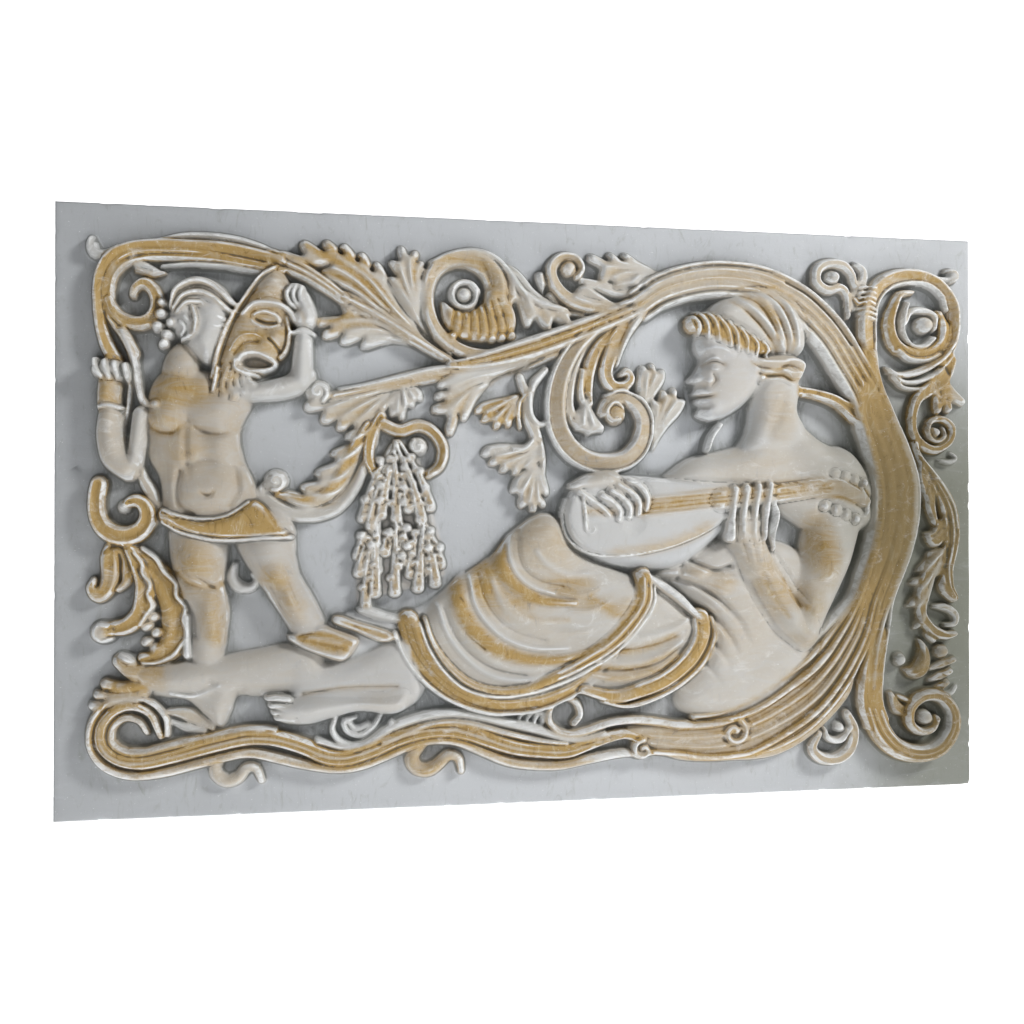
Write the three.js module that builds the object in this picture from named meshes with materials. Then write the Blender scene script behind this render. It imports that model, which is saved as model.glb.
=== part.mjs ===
// A cast plaster wall panel: a flat slab with a carved scene of a lute player, a child and a mask among vines.
// Millimetres. X runs along the panel, Z up, the front faces -Y, and the back is the plane Y = 0.
import * as THREE from "three";

// Driving sizes
const panelWidth = 1219;
const panelHeight = 762;
const slabThickness = 32; // back plane to the flat ground between the carving
const reliefDepth = 44; // ground to the boldest carving
const rasterStep = 2; // the carving is worked out on squares of this size
const facetTarget = 9700; // triangles of the carved front
const facetMiss = 0.2; // a raster point nearer than this to its facet is left alone
const passShare = 0.06; // share of the facets that are refined in one pass

// The scene is drawn on a sheet of this size: u to the right, v up from the lower left corner.
const sheet = { width: 1219, height: 762, depth: 44 };
// Its lines are drawn as they look on a plane 20 above the ground to an eye in front of the panel.
const eye = { u: 338, v: 370, distance: 1400, plane: 20 };

const columns = Math.round(panelWidth / rasterStep);
const rows = Math.round(panelHeight / rasterStep);
const cellU = sheet.width / columns;
const cellV = sheet.height / rows;
const field = new Float32Array((columns + 1) * (rows + 1));

const clamp = (x, low, high) => Math.min(Math.max(x, low), high);
const smooth = (low, high, x) => {
  const t = clamp((x - low) / (high - low), 0, 1);
  return t * t * (3 - 2 * t);
};
const listed = (value) => (Array.isArray(value) ? value : [value]);

// The value of a list of equal steps at the share s of its length.
function along(list, s) {
  const x = clamp(s, 0, 1) * (list.length - 1);
  const i = Math.min(Math.floor(x), list.length - 2);
  return list.length === 1 ? list[0] : list[i] + (list[i + 1] - list[i]) * (x - i);
}

// A drawn point brought along its line of sight to the height it is carved at.
function seat([u, v], height) {
  const share = 1 - (height - eye.plane) / eye.distance;
  return [eye.u + (u - eye.u) * share, eye.v + (v - eye.v) * share];
}

// A smooth line through drawn points, as short straight steps.
function lineThrough(points, height, closed = false) {
  const seated = points.map((p) => new THREE.Vector3(...seat(p, height), 0));
  const curve = new THREE.CatmullRomCurve3(seated, closed, "centripetal");
  const steps = Math.max(4, Math.ceil(curve.getLength() / 5));
  return curve.getSpacedPoints(steps).map((p) => [p.x, p.y]);
}

// Calls visit(index, u, v) for each raster point of a window of the sheet.
function eachCell(uLow, uHigh, vLow, vHigh, visit) {
  const iLast = Math.min(columns, Math.floor(uHigh / cellU));
  const jLast = Math.min(rows, Math.floor(vHigh / cellV));
  for (let j = Math.max(0, Math.ceil(vLow / cellV)); j <= jLast; j++)
    for (let i = Math.max(0, Math.ceil(uLow / cellU)); i <= iLast; i++)
      visit(j * (columns + 1) + i, i * cellU, j * cellV);
}

// For each raster point near a line: q, the distance over the half width, signed to the left, and the share s.
function traceLine(line, widths, reach) {
  const found = new Map();
  for (let k = 0; k + 1 < line.length; k++) {
    const [au, av] = line[k];
    const [bu, bv] = line[k + 1];
    const du = bu - au;
    const dv = bv - av;
    const span = du * du + dv * dv;
    const pad = (reach * Math.max(...widths)) / 2 + 1;
    const visit = (index, u, v) => {
      const t = clamp(((u - au) * du + (v - av) * dv) / span, 0, 1);
      const off = Math.hypot(u - au - t * du, v - av - t * dv);
      const s = (k + t) / (line.length - 1);
      const q = off / (along(widths, s) / 2);
      const old = found.get(index);
      if (q > reach || (old && old.far <= q)) return;
      const side = du * (v - av) - dv * (u - au) < 0 ? -1 : 1;
      found.set(index, { far: q, q: q * side, s });
    };
    const uEnds = [Math.min(au, bu) - pad, Math.max(au, bu) + pad];
    const vEnds = [Math.min(av, bv) - pad, Math.max(av, bv) + pad];
    eachCell(...uEnds, ...vEnds, visit);
  }
  return found;
}

// Raises one raster point to a height, blended over `soft` millimetres with what is there.
function raise(index, height, soft = 0) {
  const low = field[index];
  const gap = soft - Math.abs(low - height);
  const blend = soft > 0 && gap > 0 ? (gap * gap) / (4 * soft) : 0;
  field[index] = Math.max(low, height) + (height > 0 ? blend : 0);
}

// Cross sections of a carved strand, from -1 to 1 over its width
const dome = (x, power = 2) => Math.sqrt(Math.max(0, 1 - Math.abs(x) ** power));
const forms = {
  round: (q) => dome(q),
  flat: (q) => dome(q, 6),
  roof: (q) => Math.max(0, 1 - Math.abs(q)) ** 0.6,
  channel: (q) => (0.68 + 0.32 * smooth(0.2, 0.62, Math.abs(q))) * dome(q, 7),
  flutes: (q) => (0.82 + 0.18 * Math.cos(q * Math.PI * 3)) * dome(q, 4),
  twist: (q, s) => (0.8 + 0.2 * Math.sin(s * 60 + q * 2.4)) * dome(q, 3),
};

// A strand along a line: its height times its cross section.
function strand(points, width, height, form = "round", soft = 0) {
  const widths = listed(width);
  const heights = listed(height);
  const line = lineThrough(points, Math.max(...heights));
  for (const [index, { far, q, s }] of traceLine(line, widths, 1)) {
    if (far < 1) raise(index, along(heights, s) * forms[form](q, s), soft);
  }
}

// A leaf along its vein: the edge swings out and in for each lobe, and a groove runs up to each lobe.
function leaf(points, width, height, lobes = 4) {
  const widths = listed(width);
  const heights = listed(height);
  const line = lineThrough(points, Math.max(...heights));
  for (const [index, { far, q, s }] of traceLine(line, widths, 1)) {
    const swing = Math.abs(Math.sin(Math.PI * (lobes * s - 0.35 * far)));
    const body = Math.sin(Math.PI * clamp(0.12 + 0.88 * s, 0, 1)) ** 0.5;
    const edge = body * (0.62 + 0.38 * swing);
    if (far >= edge) continue;
    const x = far / edge;
    const vein = 1 - 0.3 * Math.exp(-((q / 0.16) ** 2));
    raise(index, along(heights, s) * dome(x, 3) * vein * (0.78 + 0.22 * swing));
  }
}

// A mound with an oval plan, turned by an angle in degrees and set on a base height.
function mound(u, v, radiusU, radiusV, height, { turn = 0, base = 0, soft = 0 } = {}) {
  const [cu, cv] = seat([u, v], height);
  const c = Math.cos((turn * Math.PI) / 180);
  const s = Math.sin((turn * Math.PI) / 180);
  const reach = Math.max(radiusU, radiusV);
  eachCell(cu - reach, cu + reach, cv - reach, cv + reach, (index, pu, pv) => {
    const x = ((pu - cu) * c + (pv - cv) * s) / radiusU;
    const y = ((pv - cv) * c - (pu - cu) * s) / radiusV;
    const r = Math.hypot(x, y);
    if (r < 1) raise(index, base + (height - base) * dome(r), soft);
  });
}

// A filled outline whose edge rounds up over `edge` millimetres.
function plate(points, height, edge, soft = 0) {
  const line = lineThrough(points, height * 0.7, true);
  const us = line.map((p) => p[0]);
  const vs = line.map((p) => p[1]);
  const visit = (index, u, v) => {
    let inside = false;
    let near = Infinity;
    for (let k = 0; k + 1 < line.length; k++) {
      const [au, av] = line[k];
      const du = line[k + 1][0] - au;
      const dv = line[k + 1][1] - av;
      if (av > v !== av + dv > v && u < au + (du * (v - av)) / dv) inside = !inside;
      const t = clamp(((u - au) * du + (v - av) * dv) / (du * du + dv * dv), 0, 1);
      near = Math.min(near, Math.hypot(u - au - t * du, v - av - t * dv));
    }
    if (inside) raise(index, height * dome(1 - Math.min(near / edge, 1)), soft);
  };
  eachCell(Math.min(...us), Math.max(...us), Math.min(...vs), Math.max(...vs), visit);
}

// Cuts a groove, or adds a ridge where the amount is positive, on work that already stands up.
function crease(points, width, amount) {
  const line = lineThrough(points, 30);
  for (const [index, { far }] of traceLine(line, [width], 1)) {
    const worked = smooth(2, 8, field[index]);
    field[index] = Math.max(0, field[index] + amount * worked * (1 - far * far) ** 2);
  }
}

// A scroll: a strand that winds in from a radius to an eye, by turns counted from a start angle in degrees.
function scroll(u, v, radius, start, turns, width, height, form = "channel") {
  const points = [];
  const steps = Math.ceil(Math.abs(turns) * 10);
  for (let k = 0; k <= steps; k++) {
    const angle = (start * Math.PI) / 180 + (k / steps) * turns * 2 * Math.PI;
    const r = radius * (1 - 0.78 * (k / steps));
    points.push([u + r * Math.cos(angle), v + r * Math.sin(angle)]);
  }
  strand(points, [width, width * 0.7], height, form);
}

function trunkAndBranches() {
  strand([[1000, 150], [1040, 220], [1068, 262], [1090, 310], [1100, 360], [1106, 400], [1098, 450],
    [1080, 500], [1055, 550], [1020, 610], [980, 650], [930, 682], [880, 692], [820, 690], [745, 672]],
  [70, 62, 50, 52, 56, 66, 70, 78, 62, 40], 34, "flutes");
  strand([[760, 672], [740, 655], [700, 638], [650, 618], [600, 598], [560, 583], [500, 570]],
    [26, 24, 22, 20], 27, "channel");
  strand([[1075, 480], [1050, 505], [1025, 530], [1000, 543], [957, 546]], 15, 28);
  crease([[760, 682], [850, 706], [925, 700], [975, 672], [1020, 635]], 8, -7);
  crease([[780, 672], [860, 688], [930, 680]], 8, -6);
}

function upperRightRing() {
  strand([[1078, 520], [1062, 560], [1058, 600], [1057, 640], [1064, 675], [1082, 698], [1108, 707], [1137, 707],
    [1166, 695], [1187, 670], [1191, 640], [1182, 608], [1158, 586], [1130, 573], [1100, 572]],
  [28, 26, 24, 22, 20], 27, "channel");
  strand([[1113, 684], [1098, 660], [1093, 632], [1106, 608], [1130, 597], [1158, 600], [1176, 615]],
    [18, 22, 14], 22, "flutes");
  mound(1148, 640, 13, 13, 22);
  mound(1188, 708, 9, 9, 18);
  scroll(1013, 700, 24, 300, 1.5, 13, 24);
  strand([[1038, 650], [1045, 680], [1057, 700], [1048, 716]], [18, 10], 20);
}

function rightOrnaments() {
  strand([[1185, 590], [1172, 568], [1150, 553], [1133, 538], [1126, 515], [1128, 492], [1140, 475], [1160, 468],
    [1180, 480], [1184, 500], [1165, 512], [1152, 500]], [18, 20, 18, 12], 22, "channel");
  mound(1160, 490, 9, 9, 20);
  strand([[1160, 558], [1180, 542], [1200, 535]], [14, 6], 16);
  leaf([[1120, 478], [1145, 440], [1165, 410], [1180, 375], [1184, 350], [1178, 320], [1172, 290], [1184, 258]],
    [30, 44, 46, 34, 22], 22, 6);
  strand([[1150, 350], [1136, 320], [1126, 285], [1122, 255], [1132, 228], [1155, 207], [1185, 207]],
    [16, 24, 24, 12], 21, "flutes");
  strand([[1168, 245], [1190, 240], [1192, 220]], 12, 20);
  strand([[1142, 205], [1146, 172], [1130, 156], [1108, 162], [1102, 182]], [16, 12, 9], 20);
  for (const [u, v, r] of [[1172, 185, 11], [1176, 165, 9], [1173, 150, 7], [1165, 140, 6]]) mound(u, v, r, r, 18);
  strand([[1060, 205], [1062, 150], [1066, 112], [1082, 78], [1108, 54], [1140, 46], [1168, 56], [1184, 82],
    [1178, 110], [1156, 124], [1130, 116], [1122, 96], [1134, 80], [1150, 86]], [36, 32, 26, 24, 20, 14], 27, "channel");
  mound(1148, 98, 9, 9, 24);
}

function roots() {
  const cords = [
    [[[700, 68], [670, 56], [630, 50], [590, 52], [560, 58], [530, 71], [500, 84], [455, 88], [430, 80], [400, 68],
      [370, 58], [340, 55], [300, 63], [270, 72], [235, 80], [200, 75], [170, 67], [130, 58], [90, 57], [60, 70],
      [44, 95], [48, 125], [70, 146], [100, 150], [126, 134], [136, 105]], 14, 22],
    [[[735, 80], [715, 86], [680, 78], [640, 68], [600, 70], [570, 75], [540, 85], [510, 97], [480, 102], [450, 100],
      [420, 92], [385, 78], [355, 70], [330, 72], [300, 85], [270, 95], [245, 98], [220, 96], [180, 88], [140, 78],
      [105, 71], [78, 74], [58, 92], [58, 118], [76, 136], [100, 138], [118, 122], [122, 102]], 17, 26],
    [[[250, 108], [200, 103], [140, 91], [105, 83], [86, 84], [70, 98], [74, 120], [92, 126], [108, 116]], 10, 20],
    [[[395, 100], [430, 113], [460, 120], [490, 122], [520, 118], [560, 108], [600, 97], [645, 82]], 16, 25],
    [[[1010, 230], [980, 190], [940, 150], [895, 115], [840, 94], [800, 94], [760, 100], [730, 104], [700, 100],
      [670, 92], [645, 88], [622, 96], [616, 114], [628, 132], [648, 134], [660, 120], [656, 102]], 18, 27],
    [[[1035, 230], [1000, 170], [960, 133], [895, 95], [850, 80], [800, 78], [755, 84]], 18, 25],
    [[[1050, 200], [1000, 130], [960, 98], [895, 62], [870, 53], [830, 53], [790, 59], [755, 62]], 18, 24],
    [[[1060, 180], [1020, 120], [985, 84], [950, 66], [900, 56]], 18, 22],
  ];
  for (const [points, width, height] of cords) strand(points, width, height);
  strand([[985, 76], [980, 58], [997, 46], [1018, 47], [1036, 62], [1036, 88], [1014, 92], [1004, 76]], 12, 23);
  scroll(742, 66, 16, 90, 1.1, 8, 22, "round");
  scroll(870, 86, 21, 60, -1.2, 9, 24, "round");
  strand([[200, 72], [195, 58], [206, 47], [222, 50], [232, 62], [243, 62], [249, 47]], 8, 15);
  strand([[448, 82], [440, 66], [445, 55], [458, 52], [472, 58], [484, 67], [497, 63], [499, 49]], 8, 15);
  scroll(370, 104, 30, 60, -1, 16, 24);
}

function topLeftVine() {
  strand([[65, 560], [52, 592], [50, 640], [52, 670], [63, 692], [85, 705], [112, 708], [145, 706], [200, 705],
    [245, 699], [285, 690], [320, 672], [350, 652]], [20, 20, 24, 22, 18, 16], 27, "channel");
  for (const rise of [14, 0, -12])
    strand([[118, 702 + rise], [155, 706 + rise], [205, 706 + rise], [250, 699 + rise * 0.8], [272, 698]],
      [9, 11, 9], 25);
  strand([[95, 695], [70, 680], [60, 655], [62, 628], [76, 603], [92, 580], [101, 550], [105, 515]],
    [12, 14, 11, 9], 23);
  strand([[95, 590], [90, 560], [92, 530], [88, 505], [84, 475]], 9, 18);
  scroll(95, 648, 31, 100, 1.35, 13, 25);
  strand([[42, 716], [52, 702], [75, 705]], [8, 14, 8], 17);
  mound(50, 706, 10, 8, 18);
  leaf([[92, 676], [110, 684], [128, 690]], 22, 22, 3);
}

function leftScroll() {
  strand([[60, 420], [46, 405], [48, 375], [62, 354], [84, 350], [104, 358], [114, 378], [104, 394], [90, 394]],
    [22, 24, 20, 14], 26, "channel");
  mound(82, 387, 8, 8, 22);
  strand([[95, 425], [108, 415], [118, 398], [122, 380]], 12, 22);
  strand([[74, 345], [68, 322], [68, 298], [58, 282], [46, 292]], [18, 16, 9], 22);
  strand([[84, 342], [98, 312], [104, 280], [98, 252], [80, 236], [60, 234]], [16, 22, 20, 14], 24, "flutes");
  mound(57, 232, 14, 13, 24);
  leaf([[88, 335], [122, 300], [142, 268], [148, 238], [140, 212], [108, 198]], [26, 44, 44, 26], 24, 6);
  for (const [u, v] of [[118, 247], [112, 236], [122, 228], [113, 217]]) mound(u, v, 8, 7, 20);
}

function farLeg() {
  strand([[330, 192], [280, 186], [240, 182], [200, 178]], [58, 58, 54, 46], 24, "round", 4);
  strand([[207, 172], [207, 135]], [34, 38], 26, "round", 6);
  strand([[205, 150], [170, 158], [135, 168], [108, 176]], [44, 46, 44, 34], 25, "round", 5);
  strand([[115, 182], [92, 192], [76, 200]], [26, 24, 18], 25, "round", 2);
  for (const [k, length] of [34, 32, 28].entries())
    strand([[104, 172 - k * 12], [104 - length, 166 - k * 14]], [15, 12], 22);
  leaf([[140, 136], [165, 126], [192, 113]], 16, 15, 3);
}

function frontLeg() {
  strand([[560, 250], [470, 190], [410, 180], [360, 158], [320, 142]], [120, 74, 66, 56, 48], 32, "round", 6);
  strand([[345, 150], [310, 136], [275, 134]], [46, 40, 34], 33, "round", 5);
  for (const [k, v] of [147, 137, 128, 120].entries())
    strand([[280, v - 1], [256 + k * 4, v]], [13, 11], 31 - k * 2, "round", 1);
}

function drapery() {
  plate([[440, 180], [448, 245], [500, 300], [560, 345], [600, 378], [628, 372], [650, 330], [720, 300], [760, 288],
    [815, 240], [812, 205], [760, 155], [700, 140], [640, 140], [600, 124], [540, 124], [480, 145]], 27, 24, 4);
  mound(606, 338, 46, 42, 38, { soft: 8 });
  const folds = [
    [[445, 250], [452, 215], [472, 182], [505, 158], [550, 145], [600, 148], [640, 160]],
    [[462, 252], [478, 218], [510, 186], [555, 168], [600, 170], [640, 182]],
    [[488, 278], [512, 238], [545, 210], [590, 196], [640, 202]],
    [[520, 305], [540, 268], [565, 246], [600, 236], [650, 232]],
    [[552, 345], [556, 310], [572, 285], [600, 270], [650, 262]],
  ];
  for (const [k, fold] of folds.entries()) strand(fold, [16, 22, 20, 14], [34, 38 + k, 37, 29], "round", 1);
  strand([[424, 225], [441, 185], [462, 158], [500, 133], [535, 122], [575, 120], [620, 128], [665, 158]],
    [17, 17, 14], 32);
  strand([[742, 295], [738, 262], [718, 230], [692, 206], [640, 178], [600, 158]], [22, 24, 20], 39);
  strand([[822, 240], [824, 214], [806, 182], [775, 158], [740, 144], [700, 138], [655, 148]], [22, 22, 16], 37);
  strand([[748, 292], [788, 268], [818, 240]], [20, 18], 35, "round");
}

function playerBody() {
  plate([[770, 300], [800, 325], [870, 350], [960, 320], [980, 260], [975, 190], [930, 140], [860, 105], [800, 112],
    [790, 145], [815, 200], [812, 245], [770, 280]], 30, 34, 4);
  strand([[775, 420], [815, 440], [860, 452], [925, 465], [975, 455], [1020, 440]], [34, 50, 74, 90, 80, 60], 34,
    "round", 6);
  strand([[925, 500], [922, 545], [915, 580]], [88, 72, 70], 34, "round", 6);
  strand([[1015, 425], [1015, 370], [1003, 320], [985, 272], [975, 228]], [86, 78, 72, 62, 54], 41, "round", 5);
  strand([[972, 222], [935, 262], [905, 305], [892, 345]], [58, 60, 52, 46], 40, "round", 4);
  crease([[770, 292], [830, 272], [870, 248]], 10, -5);
  crease([[800, 325], [820, 310], [850, 304]], 9, -5);
}

// The head, in profile to the left, on plain proportions: skull, jaw, nose and lips from one head height.
function playerHead() {
  const chinV = 508;
  const crownV = 622;
  const faceU = 812;
  const tall = crownV - chinV;
  plate([[faceU + 4, crownV - 4], [faceU + 1, chinV + tall * 0.66], [faceU + 3, chinV + tall * 0.58],
    [faceU - 7, chinV + tall * 0.42], [faceU + 2, chinV + tall * 0.36], [faceU, chinV + tall * 0.27],
    [faceU + 3, chinV + tall * 0.19], [faceU + 3, chinV + tall * 0.06], [faceU + 20, chinV - 4],
    [faceU + 52, chinV + 12], [faceU + 80, chinV + 34], [900, 560], [890, 600], [850, 622]], 41, 26, 3);
  mound(faceU + 40, chinV + tall * 0.36, 26, 24, 43, { soft: 8 });
  mound(faceU + 20, chinV + tall * 0.56, 9, 4.5, 40, { soft: 1 });
  crease([[faceU + 8, chinV + tall * 0.63], [faceU + 22, chinV + tall * 0.67], [faceU + 36, chinV + tall * 0.62]], 8, 3);
  crease([[faceU + 2, chinV + tall * 0.23], [faceU + 16, chinV + tall * 0.22]], 4, -4);
}

function playerHairAndCap() {
  const capCentre = [890, 612];
  plate([[828, 640], [848, 668], [882, 682], [922, 681], [952, 664], [968, 636], [970, 600], [930, 590], [880, 600]],
    36, 22, 2);
  for (let k = 0; k < 7; k++) {
    const angle = ((150 - k * 24) * Math.PI) / 180;
    const tip = [capCentre[0] + 78 * Math.cos(angle), capCentre[1] + 68 * Math.sin(angle)];
    const half = [capCentre[0] + 40 * Math.cos(angle + 0.2), capCentre[1] + 34 * Math.sin(angle + 0.2)];
    strand([capCentre, half, tip], [8, 14, 10], [36, 39, 30], "round", 2);
  }
  for (const [k, rise] of [18, 6, -6, -18].entries())
    strand([[872, 578 + rise], [905, 570 + rise], [940, 576 + rise], [970, 566 + rise]], [10, 14, 10], 38 - k, "round");
  strand([[808, 632], [830, 634], [852, 626], [872, 612], [892, 600], [918, 592]], [26, 30, 28, 24], 43, "twist");
  mound(812, 634, 14, 14, 42);
}

function lute() {
  const pegRadius = 7.5;
  plate([[650, 332], [700, 312], [750, 306], [792, 312], [822, 332], [850, 366], [800, 372], [700, 350]], 30, 16);
  plate([[634, 378], [652, 420], [700, 428], [770, 424], [840, 417], [880, 410], [880, 388], [850, 372], [815, 350],
    [775, 334], [735, 325], [690, 322], [655, 332], [638, 350]], 35, 9);
  strand([[850, 398], [930, 404], [1000, 413]], [30, 26, 24], 36, "flat");
  strand([[995, 415], [1030, 408], [1058, 394]], [22, 20, 16], 38, "flat");
  mound(728, 365, 15, 8, 36.5, { base: 34 });
  strand([[662, 398], [665, 355]], 8, 39, "flat");
  for (let k = 0; k < 4; k++) {
    mound(1012 + k * 15, 433 - k * 4, pegRadius, pegRadius, 37);
    mound(1000 + k * 15, 389 - k * 6, pegRadius, pegRadius, 39);
  }
  strand([[655, 414], [690, 420], [722, 416]], [30, 34, 24], 43, "round", 4);
  for (let k = 0; k < 4; k++)
    strand([[664 + k * 18, 416 + k * 2], [690 + k * 15, 404 + k * 2], [706 + k * 12, 390], [709 + k * 11, 373]],
      [15, 14, 13, 11], 43, "round", 1);
  strand([[890, 320], [888, 345]], [50, 52], 41, "round", 4);
  for (let k = 0; k < 4; k++)
    strand([[868 + k * 13, 356], [870 + k * 15, 385], [874 + k * 16, 408]], [14, 14, 13], 43, "round", 1);
  strand([[845, 498], [835, 480], [828, 462]], 8, 37);
}

function childBody() {
  const limb = (points, width, height) => strand(points, width, height, "round", 5);
  plate([[110, 505], [108, 450], [122, 425], [128, 395], [136, 372], [200, 360], [250, 380], [248, 400], [238, 428],
    [225, 450], [224, 485], [235, 520], [215, 535], [140, 540]], 33, 30, 4);
  mound(183, 408, 42, 38, 39, { soft: 8 });
  mound(134, 503, 27, 22, 37, { soft: 7 });
  mound(190, 506, 30, 24, 37, { soft: 7 });
  mound(185, 402, 4, 3, 20);
  limb([[150, 570], [152, 545]], [48, 60], 34);
  limb([[118, 520], [104, 480], [98, 440]], [34, 30, 26], 34);
  limb([[90, 436], [70, 450], [66, 490], [67, 530]], [34, 36, 34, 28], 36);
  mound(66, 557, 24, 17, 36, { turn: 10 });
  for (let k = 0; k < 4; k++) strand([[50 + k * 10, 570], [52 + k * 10, 552], [56 + k * 8, 545]], 10, 38, "round", 1);
  limb([[215, 525], [250, 532], [285, 545]], [42, 34, 32], 36);
  limb([[297, 545], [300, 580], [300, 612]], [32, 28, 26], 37);
  strand([[284, 606], [314, 606]], 8, 38, "round");
  mound(302, 642, 20, 28, 37);
  for (let k = 0; k < 4; k++) strand([[308, 632 + k * 11], [294, 642 + k * 9], [280, 650 + k * 7]], 11, 40, "round", 1);
  limb([[170, 352], [172, 310], [178, 270], [186, 240], [190, 212]], [82, 70, 54, 48, 40], 36);
  limb([[250, 352], [264, 315], [276, 285], [292, 255], [303, 228]], [76, 60, 48, 46, 44], 36);
  mound(266, 305, 22, 20, 38, { soft: 6 });
  mound(195, 228, 11, 16, 34, { soft: 3 });
  crease([[112, 496], [135, 484], [158, 490]], 8, -4);
  crease([[165, 490], [190, 483], [216, 492]], 8, -4);
  crease([[160, 370], [175, 360], [225, 360]], 8, -4);
  crease([[150, 445], [183, 450], [215, 442]], 8, -2);
}

function loincloth() {
  plate([[126, 384], [150, 376], [180, 372], [210, 378], [236, 395], [250, 392], [264, 378], [277, 362], [286, 348],
    [250, 345], [210, 343], [180, 347], [150, 356], [128, 367]], 39, 10);
  for (let k = 0; k < 4; k++)
    strand([[130, 379 - k * 3], [180, 366 - k * 5], [225, 372 - k * 7], [272, 360 - k * 3]], [6, 8, 6], 42 - k, "round", 1);
}

// The child's head, turned to the mask that hides its nose and mouth, on plain proportions: hair waves and curls.
function childHead() {
  const chinV = 563;
  const crownV = 674;
  const templeU = 176;
  const tall = crownV - chinV;
  plate([[136, 640], [150, 662], [178, 672], [204, 662], [214, 640], [212, 610], [204, 585], [192, 566], [182, chinV],
    [168, 572], [152, 590], [136, 610]], 36, 26, 2);
  mound(templeU + 8, chinV + tall * 0.3, 24, 22, 40, { soft: 8 });
  strand([[templeU + 8, chinV + tall * 0.6], [templeU + 20, chinV + tall * 0.57], [templeU + 30, chinV + tall * 0.6]],
    8, 40, "round", 3);
  mound(templeU + 20, chinV + tall * 0.48, 8, 4, 39, { soft: 1 });
  for (let k = 0; k < 5; k++) {
    const drop = k * 9;
    strand([[140 + k * 2, 640 - k * 2], [152, 664 - drop], [174, 674 - drop], [196, 668 - drop], [212, 654 - drop * 0.85],
      [226 - k * 4, 648 - drop * 0.75]], [6, 11, 12, 12, 9, 6], 42 - k * 0.8, "round", 1);
  }
  for (const [u, v, r] of [[131, 634, 10], [122, 613, 10], [135, 603, 9], [131, 591, 9]]) mound(u, v, r, r, 35);
}

function mask() {
  plate([[266, 688], [246, 675], [226, 645], [209, 615], [196, 580], [188, 550], [190, 528], [215, 527], [238, 540],
    [262, 556], [276, 575], [287, 605], [289, 640], [284, 668]], 31, 20);
  crease([[228, 628], [248, 641], [272, 638], [288, 628]], 10, 5);
  mound(256, 622, 12, 7, 30, { base: 24 });
  crease([[242, 622], [256, 612], [272, 620]], 7, -5);
  mound(272, 598, 12, 14, 36, { soft: 5 });
  crease([[215, 578], [232, 602], [254, 596]], 8, -5);
  crease([[218, 566], [240, 572], [268, 566]], 20, -12);
  strand([[274, 576], [246, 584], [214, 573], [219, 556], [250, 550]], 8, 33);
  for (let k = 0; k < 5; k++)
    strand([[232 - k * 6, 556 - k * 3], [214 - k * 3 + k * k, 540], [190 + k * 12, 524 + k * k]], [12, 12, 7], 30);
  for (let k = 0; k < 3; k++) crease([[240, 664 - k * 8], [262, 668 - k * 8], [284, 660 - k * 8]], 5, -3);
}

function middleFoliage() {
  leaf([[268, 700], [310, 702], [350, 690], [395, 660], [440, 615], [485, 576]], [22, 46, 52, 52, 36, 20], 24, 8);
  leaf([[322, 606], [345, 620], [385, 618], [430, 600], [486, 574]], [26, 54, 50, 34, 16], 23, 6);
  leaf([[445, 610], [434, 640], [430, 680], [424, 716]], [30, 50, 44, 28], 25, 5);
  strand([[625, 605], [580, 590], [530, 584], [490, 592], [465, 620], [458, 655], [466, 690], [490, 708], [520, 710],
    [543, 696], [550, 668], [538, 640]], [20, 18, 16, 14], 25, "channel");
  scroll(505, 660, 24, 320, 1.2, 9, 23, "round");
  mound(505, 660, 9, 9, 24);
  plate([[478, 612], [500, 632], [530, 644], [560, 640], [568, 620], [545, 610], [505, 604]], 21, 9);
  leaf([[530, 710], [560, 690], [590, 660], [640, 640]], [18, 42, 46, 26], 23, 5);
  strand([[600, 590], [540, 572], [500, 563], [450, 557], [400, 545], [365, 534], [336, 528]], [18, 16, 14], 23);
  mound(321, 531, 15, 14, 24);
  for (const [u, v] of [[305, 508], [328, 494], [350, 490], [368, 488]]) strand([[335, 524], [u, v]], [12, 14, 9], 19);
  leaf([[600, 572], [550, 545], [505, 520], [472, 500]], [20, 44, 56, 40], 23, 6);
  leaf([[580, 548], [555, 520], [520, 498]], [20, 34, 24], 24, 4);
  leaf([[572, 545], [590, 515], [585, 470], [560, 446], [534, 450]], [14, 24, 46, 34], 23, 5);
  strand([[600, 470], [606, 430], [596, 396], [568, 400]], [16, 26, 20], 22, "flutes");
  strand([[267, 418], [262, 400], [285, 385], [322, 386], [350, 408], [366, 438], [378, 475], [388, 500]],
    [18, 22, 26, 24, 16], 23, "flutes");
  mound(267, 418, 15, 14, 24);
  for (const [u, v] of [[415, 505], [436, 518], [428, 500]]) mound(u, v, 6, 9, 14);
}

// Flowers hang in tiers from a ring: each is a ribbed trumpet with a round cup at its mouth.
function flowerCluster() {
  strand([[398, 500], [386, 472], [388, 440], [404, 424], [440, 426], [466, 444], [468, 470], [446, 488], [404, 492]],
    13, 23);
  mound(445, 465, 12, 12, 22);
  plate([[415, 476], [398, 455], [384, 425], [376, 390], [368, 340], [366, 295], [372, 262], [410, 276], [475, 297],
    [477, 325], [462, 370], [460, 410], [446, 445], [430, 466]], 17, 12);
  const tiers = [[396, 408], [376, 352], [372, 306], [382, 270]];
  for (const [t, [startU, v]] of tiers.entries())
    for (let k = 0; k < 4; k++) {
      const u = startU + k * (t ? 29 : 19);
      const lift = t === 3 ? k * 9 : (k % 2) * 9;
      strand([[420 + (u - 420) * 0.6, v + 58 + lift], [u, v + 8 + lift]], [10, 18], 30 - t * 0.5);
      mound(u, v + 4 + lift, 11, 9, 32 - t * 0.5);
    }
}

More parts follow.
